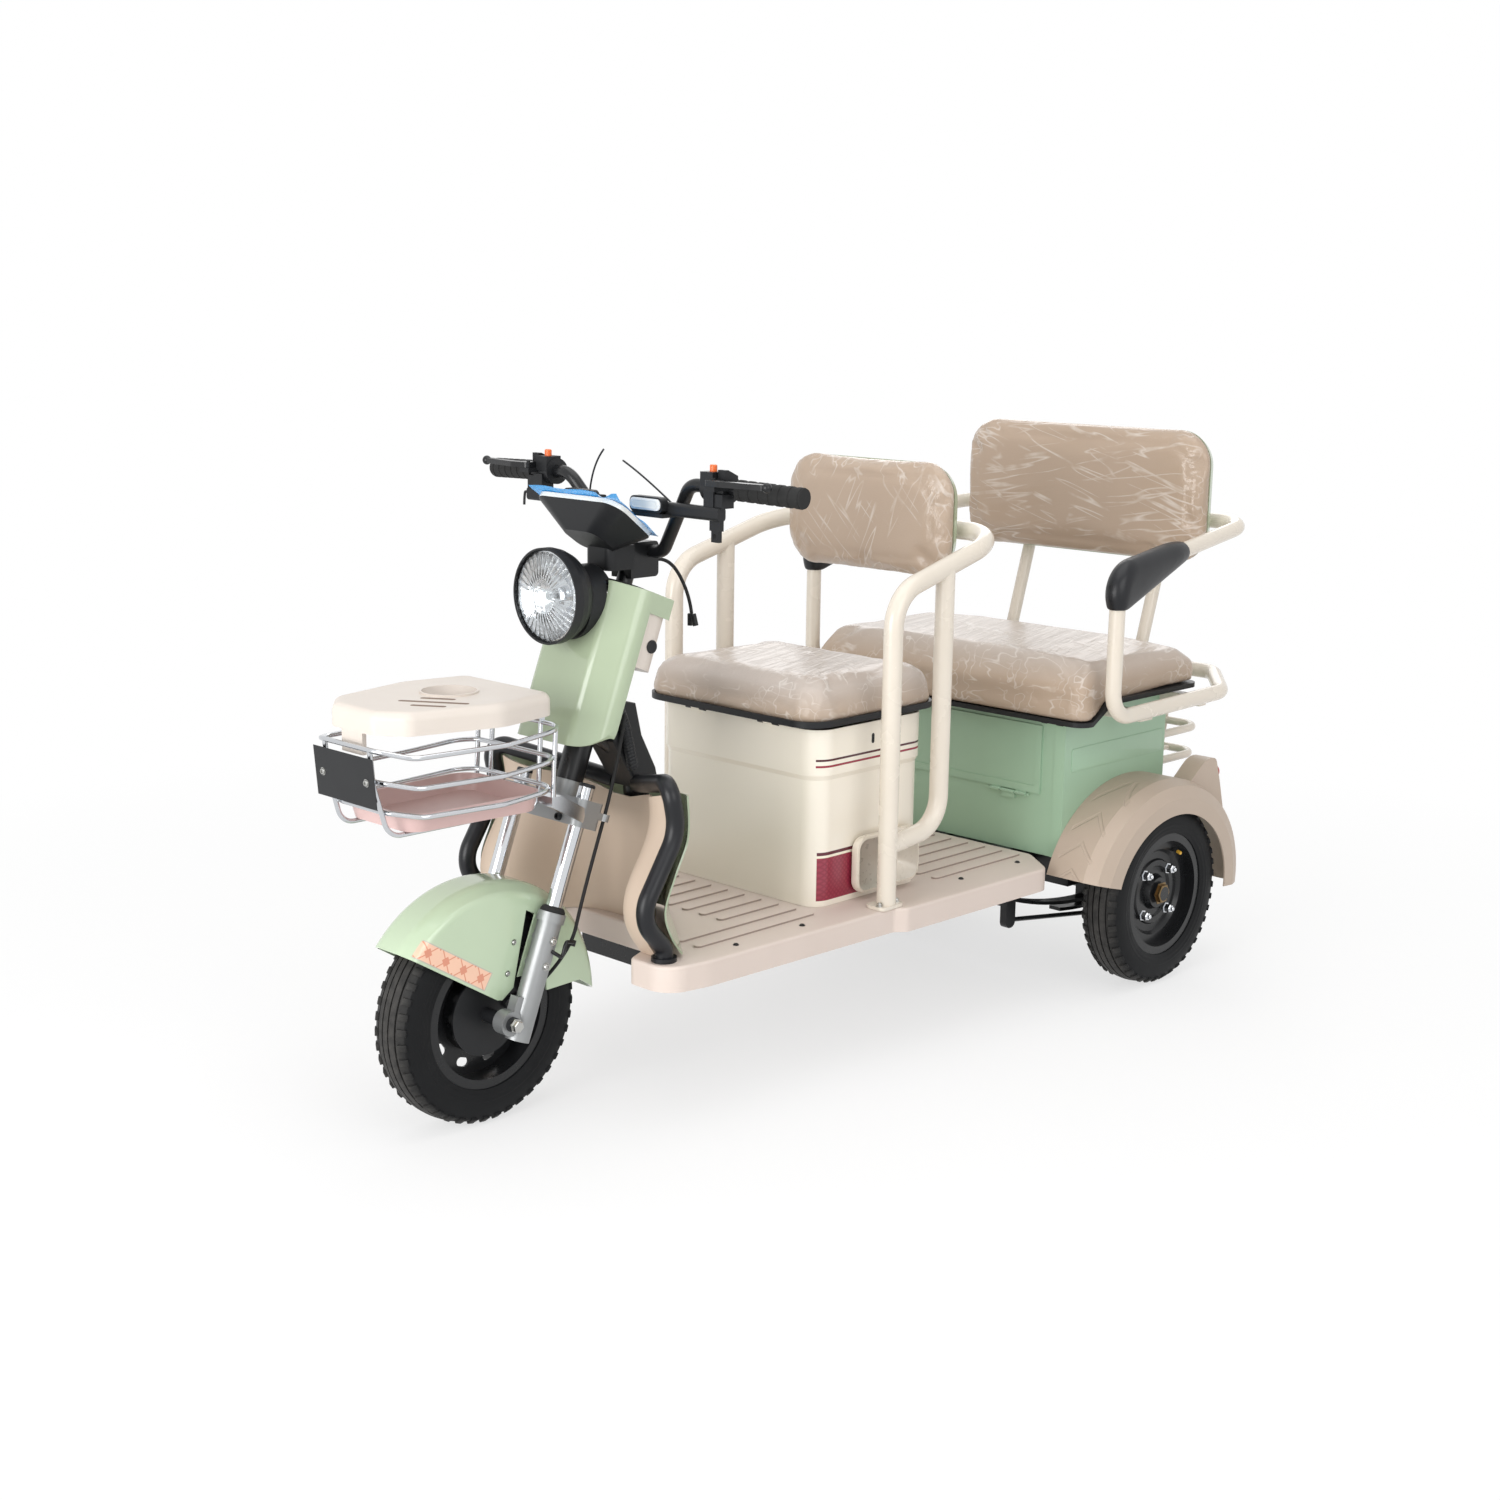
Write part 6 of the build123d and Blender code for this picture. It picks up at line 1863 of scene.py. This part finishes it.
@dataclass
class FrontFork:
    """Telescopic fork with its yoke, fender and brake cable."""

    leg_ahead: float = 30.0
    leg_side: float = 78.0
    seal: Profile = ((13.9, 0.0), (20.5, 0.0), (20.5, 3.5), (17.0, 9.0), (13.9, 10.0), (13.9, 0.0))
    seal_seat: float = -187.9
    cap: Profile = ((0.0, 0.0), (13.5, 0.0), (13.5, 4.0), (11.5, 6.0), (7.0, 6.0), (6.5, 3.5), (0.0, 3.5))
    cap_seat: float = 20.1
    bolt: Profile = ((0.0, 0.0), (6.2, 0.0), (6.2, 6.0), (5.4, 7.0), (3.4, 7.0), (3.0, 3.0), (0.0, 3.0))
    bolt_ahead: float = 54.1
    bolt_side: float = 60.0
    bolt_rows: Pair = (-37.0, -20.0)
    rod: Route = (
        (1331.0, 96.0, 287.0), (1324.0, 102.0, 281.0), (1313.0, 103.0, 273.0),
        (1305.0, 102.0, 298.0), (1296.0, 101.0, 296.0), (1287.0, 99.6, 293.0))
    rod_diameter: float = 6.5
    eye: Profile = ((3.3, -5.0), (5.6, -5.0), (5.6, 5.0), (3.3, 5.0), (3.3, -5.0))
    eye_place: Triple = (-14.0, 96.0, -228.0)
    axle_end: Triple = (1408.0, 100.1, 181.0)
    axle_nut: Pair = (20.0, 9.0)
    axle_spin: float = 0.2
    screw: Pair = (5.5, 3.6)
    screw_side: float = 98.4
    screw_rows: Pair = (-232.0, -274.0)
    fender_bolt: Pair = (4.0, 2.6)
    fender_bolts: Route = ((1371.7, 52.6, 300.7), (1385.5, 52.6, 251.2))
    cable: Route = ((-6.0, 80.0, 150.0), (-8.0, 96.0, 66.0), (-8.0, 96.0, -150.0), (-16.0, 96.0, -250.0))
    cable_end: Triple = (1326.5, 38.0, 201.3)
    cable_diameter: float = 6.0

    def dress(self) -> None:
        """Gives the CAD nodes their finishes."""
        dress(Look.CAST, "fork_crown", "fork_sliders")
        dress(Look.BLACK, "front_axle")
        dress(Look.CHROME, "fork_stanchions")
        dress(Look.FENDER, "front_fender")

    def on_leg(self, along: float) -> Matrix:
        """Matrix that puts a piece round the left leg."""
        return aim(fork_spot(self.leg_ahead, self.leg_side, along), FORK_AXIS)

    def add(self, thing: Thing, name: str, look: Look, slot: str) -> None:
        """Delivers a piece of the lower legs, with its mirror image."""
        deliver(both_sides(thing), name, look, "fork_lower")

    def seals(self) -> None:
        """Rubber dust seals where the tubes enter the lower legs."""
        seal = placed(turned(self.seal), self.on_leg(self.seal_seat))
        self.add(seal, "fork_seals", Look.RUBBER, "black_rubber")

    def caps(self) -> None:
        """Plugs on top of the fork tubes."""
        cap = placed(turned(self.cap, 28), self.on_leg(self.cap_seat))
        deliver(both_sides(cap), "fork_caps", Look.BLACK, "steering")

    def clamp_bolts(self) -> None:
        """Pinch bolts on the front of the yoke, one pair on each clamp."""
        way = Vector((math.cos(RAKE), 0.0, math.sin(RAKE)))
        places = [aim(fork_spot(self.bolt_ahead, self.bolt_side, along), way) for along in self.bolt_rows]
        bolts = both_sides(repeat(turned(self.bolt, 24), places))
        deliver(bolts, "yoke_bolts", Look.BLACK_STEEL, "steering")

    def fasteners(self) -> None:
        """Nuts on the axle bolt and the fender's mounting screws."""
        nut = placed(hex_nut(*self.axle_nut), aim(spot(*self.axle_end), LEFT, self.axle_spin))
        self.add(nut, "front_axle_nuts", Look.ZINC, "cast_alloy")
        rows = [aim(fork_spot(self.leg_ahead, self.screw_side, along), LEFT) for along in self.screw_rows]
        self.add(repeat(pan_screw(*self.screw), rows), "fender_screws", Look.ZINC, "bright_wire")
        holes = [aim(spot(*place), LEFT) for place in self.fender_bolts]
        self.add(repeat(pan_screw(*self.fender_bolt), holes), "fender_bolts", Look.ZINC, "bright_wire")

    def cable_bracket(self) -> None:
        """Bent rod from the lower leg that carries the brake cable in an eye."""
        rod = wire(self.rod, self.rod_diameter)
        eye = placed(turned(self.eye, 24), aim(fork_spot(*self.eye_place), FORK_AXIS))
        deliver(join([rod, eye]), "cable_bracket", Look.BLACK_STEEL, "fork_lower")

    def brake_cable(self) -> None:
        """Brake cable from the cowl through its guide to the brake arm."""
        route = [fork_spot(*stop) for stop in self.cable] + [spot(*self.cable_end)]
        cord = Cord("front_brake_cable", "brake_cable", "fork_lower", "black_rubber", route,
                    self.cable_diameter, Look.RUBBER, Lay.TAUT)
        cord.build()

    def build(self) -> None:
        """Builds and dresses the fork."""
        self.dress()
        self.seals()
        self.caps()
        self.clamp_bolts()
        self.fasteners()
        self.cable_bracket()
        self.brake_cable()


@dataclass
class Cockpit:
    """Handlebar with its dash, pods, levers, lamps and loose lead.

    The dash's edges have a place up its slope and a half width. The film reaches past both
    edges, curls up along the front, and hangs over it in a flap. A lens or guide has its
    thickness, the radius of its corners and the width of its edges as its form.
    """

    dash: Triple = (1148.0, 0.0, 970.0)
    dash_slope: float = 34.0
    rear_edge: Pair = (-60.0, 88.0)
    front_edge: Pair = (56.0, 104.0)
    screen: Sizes = (78.0, 146.0, 1.0, 8.0, 0.3)
    screen_sunk: float = -3.9
    film_cells: int = 40
    film_thick: float = 0.3
    film_over: Pair = (4.0, 14.0)
    film_off: float = 0.5
    ripple_half: float = 0.5
    ripple_run: Pair = (9.0, 21.0)
    curl_start: float = 50.0
    curl_run: float = 16.0
    curl_rise: float = 4.5
    curl_wave: float = 0.25
    curl_wave_run: float = 15.0
    flap_middle: float = 78.0
    flap_half: float = 13.0
    flap_drop: float = 9.0
    corner_start: float = 0.82
    corner_middle: float = -36.0
    corner_half: float = 24.0
    corner_out: float = 17.0
    corner_drop: float = 7.0
    lamp_middle: Triple = (1113.6, 82.0, 988.0)
    lamp_size: Pair = (70.0, 19.0)
    lamp_form: Triple = (3.2, 8.0, 1.0)
    guide_less: Pair = (12.0, 7.0)
    guide_form: Pair = (0.8, 5.0)
    guide_sunk: Pair = (2.2, 0.6)
    guide_raised: float = 3.4
    tie_right: Route = ((1080.0, -91.0, 995.0), (1088.0, -75.0, 1040.0), (1080.0, -56.0, 1066.0))
    tie_left: Route = ((1085.0, 112.0, 990.0), (1085.0, 45.0, 1030.0), (1080.0, -9.0, 1050.0))
    tie_diameter: float = 3.2
    hook: Route = (
        (1091.0, -228.0, 982.0), (1091.0, -243.0, 983.0), (1091.0, -248.0, 982.0), (1091.0, -249.0, 960.0))
    hook_diameter: float = 4.5
    lead: Route = ((1029.7, 20.0, 886.0), (999.7, 20.0, 886.0), (973.7, 40.0, 826.0), (972.7, 45.0, 792.0))
    lead_diameter: float = 6.0
    plug_low: Triple = (-0.004, -0.0035, 0.0)
    plug_high: Triple = (0.004, 0.0035, 0.021)
    plug_bevel: float = 0.001
    plug_sunk: Pair = (1.2, 4.0)
    plug_splay: float = 0.16
    plug_apart: float = 0.022

    def dress(self) -> None:
        """Gives the CAD nodes their finishes."""
        dress(Look.BLACK_STEEL, "handlebar", "brake_lever_left", "brake_lever_right")
        dress(Look.BLACK, "dash_housing", "control_pods", "indicator_lamps")
        dress(Look.PALE, "dash_panel")
        dress(Look.RUBBER, "grip_left", "throttle_grip")
        dress(Look.ORANGE, "button_left", "button_right")

    def add(self, thing: Thing, name: str, look: Look, slot: str) -> Thing:
        """Delivers a piece that steers with the handlebar."""
        return deliver(thing, name, look, "steering")

    def on_dash(self) -> Matrix:
        """Matrix from the plane of the dash to the part's frame."""
        return Matrix.Translation(spot(*self.dash)) @ Matrix.Rotation(math.radians(-self.dash_slope), 4, "Y")

    def display(self) -> None:
        """Dark window sunk in the dash panel."""
        place = self.on_dash() @ Matrix.Translation((0.0, 0.0, self.screen_sunk / METRE))
        self.add(placed(plate(*self.screen), place), "dash_screen", Look.SCREEN, "black_plastic")

    def film_height(self, u: float, v: float) -> float:
        """How far the film stands off the panel.

        Args:
            u: Millimetres up the panel.
            v: Millimetres to the left.

        Returns:
            Millimetres, below zero where a flap hangs over the edge.
        """
        ahead = max(0.0, (u - self.curl_start) / self.curl_run)
        flap = math.exp(-(((v - self.flap_middle) / self.flap_half) ** 4))
        rise = self.curl_rise * (1.0 - flap) - self.flap_drop * flap
        wave = 1.0 - self.curl_wave + self.curl_wave * math.sin(v / self.curl_wave_run)
        along, across = self.ripple_run
        ripple = self.ripple_half * (1.0 + math.sin(u / along + v / across))
        return self.film_off + ahead**1.5 * rise * wave + ripple * (1.0 - min(1.0, ahead))

    def film(self) -> None:
        """Blue protective film on the panel, loose round its edge."""
        sheet = grid(1.0, self.film_cells)
        (rear, rear_half), (front, front_half) = self.rear_edge, self.front_edge
        behind, over = self.film_over
        length = front - rear + over
        for vertex in sheet.data.vertices:
            u = rear - behind + (vertex.co.x + 0.5) * length
            half = rear_half + (front_half - rear_half) * (u - rear) / (front - rear) + 1.0
            v = 2.0 * vertex.co.y * half
            loose = max(0.0, 2.0 * vertex.co.y - self.corner_start) / (1.0 - self.corner_start)
            loose *= math.exp(-(((u - self.corner_middle) / self.corner_half) ** 4))
            lift = self.film_height(u, v) - self.corner_drop * loose**2
            vertex.co = Vector((u, v + self.corner_out * loose, lift)) / METRE
        modify(sheet, "SOLIDIFY", thickness=self.film_thick / METRE, offset=1.0)
        smooth(sheet, 60.0)
        self.add(placed(sheet, self.on_dash()), "dash_film", Look.FILM, "clear_lens")

    def lamps(self) -> None:
        """Clear lenses on the indicator lamps, each with a loop of light guide."""
        wide, tall = self.lamp_size
        turn = Matrix.Rotation(math.radians(90.0), 4, "Y") @ Matrix.Rotation(math.radians(90.0), 4, "Z")
        place = Matrix.Translation(spot(*self.lamp_middle)) @ turn
        lens = placed(plate(wide, tall, *self.lamp_form), place)
        self.add(both_sides(lens), "lamp_lenses", Look.LAMP_LENS, "clear_lens")
        loop = plate(wide - self.guide_less[0], tall - self.guide_less[1], *self.guide_form)
        sink_top(loop, *self.guide_sunk)
        raised = Matrix.Translation((0.0, 0.0, self.guide_raised / METRE))
        self.add(both_sides(placed(loop, place @ raised)), "lamp_guides", Look.PALE, "pale_plastic")

    def ties(self) -> None:
        """Tails of two cable ties and the wire hook on the right carrier."""
        tails = [wire(route, self.tie_diameter) for route in (self.tie_right, self.tie_left)]
        self.add(join(tails), "cable_tie_tails", Look.BLACK, "black_plastic")
        self.add(wire(self.hook, self.hook_diameter), "carrier_hook", Look.BLACK_STEEL, "black_steel")

    def loose_lead(self) -> None:
        """Loose lead behind the column with its two connectors."""
        route = [spot(*stop) for stop in self.lead]
        end, down = route[-1], (route[-1] - route[-2]).normalized()
        plug = block(Vector(self.plug_low), Vector(self.plug_high), self.plug_bevel)
        sink_top(plug, *self.plug_sunk)
        places = []
        for side in SIDES:
            splay = LEFT * self.plug_splay * side
            places.append(aim(end + splay * self.plug_apart, (down + splay).normalized()))
        plugs = self.add(repeat(plug, places), "lead_connector", Look.BLACK, "black_plastic")
        cord = Cord("loose_lead", "spare_lead", "steering", "black_rubber", route,
                    self.lead_diameter, Look.RUBBER, Lay.HANGING, far_end="plug")
        cord.build([plugs])

    def build(self) -> None:
        """Builds and dresses the cockpit."""
        self.dress()
        self.display()
        self.film()
        self.lamps()
        self.ties()
        self.loose_lead()


@dataclass
class FrontBasket:
    """Wire basket with its tray, lid and the bare plate in front.

    The plate leans forward by its slope. Each slot of the lid has its middle and its length.
    """

    plate_half: float = 75.0
    plate_z: Pair = (567.0, 645.0)
    plate_thick: float = 1.4
    plate_bevel: float = 0.0006
    plate_x: float = 1648.8
    plate_level: float = 600.0
    plate_slope: float = 0.09
    screw: Pair = (5.0, 3.0)
    screw_side: float = 55.0
    slots: Route = ((1500.0, 34.0, 56.0), (1522.0, 52.0, 112.0), (1546.0, 70.0, 56.0))
    slot_floor: float = 710.5
    slot_wide: float = 10.0
    slot_corner: float = 4.9
    slot_thick: float = 0.8
    slot_edge: float = 0.3
    slot_turn: float = 124.0

    def dress(self) -> None:
        """Gives the CAD nodes their finishes."""
        dress(Look.WIRE, "front_basket")
        dress(Look.PINK, "basket_tray")
        dress(Look.CREAM, "basket_lid")

    def plate(self) -> None:
        """Bare black plate on the front wires, with two screws."""
        low, high = self.plate_z
        middle = (low + high) / 2.0
        corner = Vector((self.plate_half, (high - low) / 2.0, 0.0)) / METRE
        thick = self.plate_thick / METRE
        sheet = block(-corner, corner + UP * thick, self.plate_bevel)
        axis = Vector((1.0, 0.0, -self.plate_slope)).normalized()
        foot = spot(self.plate_x + (middle - self.plate_level) * self.plate_slope, 0.0, middle)
        deliver(placed(sheet, aim(foot, axis)), "front_plate", Look.BLACK, "steering")
        places = [aim(foot + Vector((thick, side * self.screw_side / METRE, 0.0)), axis) for side in SIDES]
        screws = repeat(pan_screw(*self.screw), places)
        deliver(screws, "plate_screws", Look.ZINC, "steering")

    def lid_slots(self) -> None:
        """Painted shade: dark plates put in the three slanting slots in the lid, where the openings show
        only shade.
        """
        turn = Matrix.Rotation(math.radians(self.slot_turn), 4, "Z")
        lid_shades = []
        for x, y, length in self.slots:
            lid_shade = plate(length, self.slot_wide, self.slot_thick, self.slot_corner, self.slot_edge)
            lid_shades.append(placed(lid_shade, Matrix.Translation(spot(x, y, self.slot_floor)) @ turn))
        deliver(join(lid_shades), "lid_slots", Look.SLOT, "lid")

    def build(self) -> None:
        """Builds and dresses the basket."""
        self.dress()
        self.plate()
        self.lid_slots()


def main() -> None:
    """Builds the picture from its sub-assemblies."""
    logging.basicConfig(level=logging.INFO)
    groups = (
        Chassis(),
        Cowl(),
        DriverSeat(),
        RearSeat(),
        Wheel("rear_left", (0.0, 346.0, 181.0), Look.REAR_TYRE),
        Wheel("rear_right", (0.0, -346.0, 181.0), Look.REAR_TYRE),
        Wheel("front", (1408.0, 0.0, 181.0), Look.FRONT_TYRE, nuts=False),
        FrontFork(),
        Cockpit(),
        FrontBasket(),
    )
    for group in groups:
        group.build()
        LOG.info("%s done", type(group).__name__)
    Studio().build()


if __name__ == "__main__":
    main()
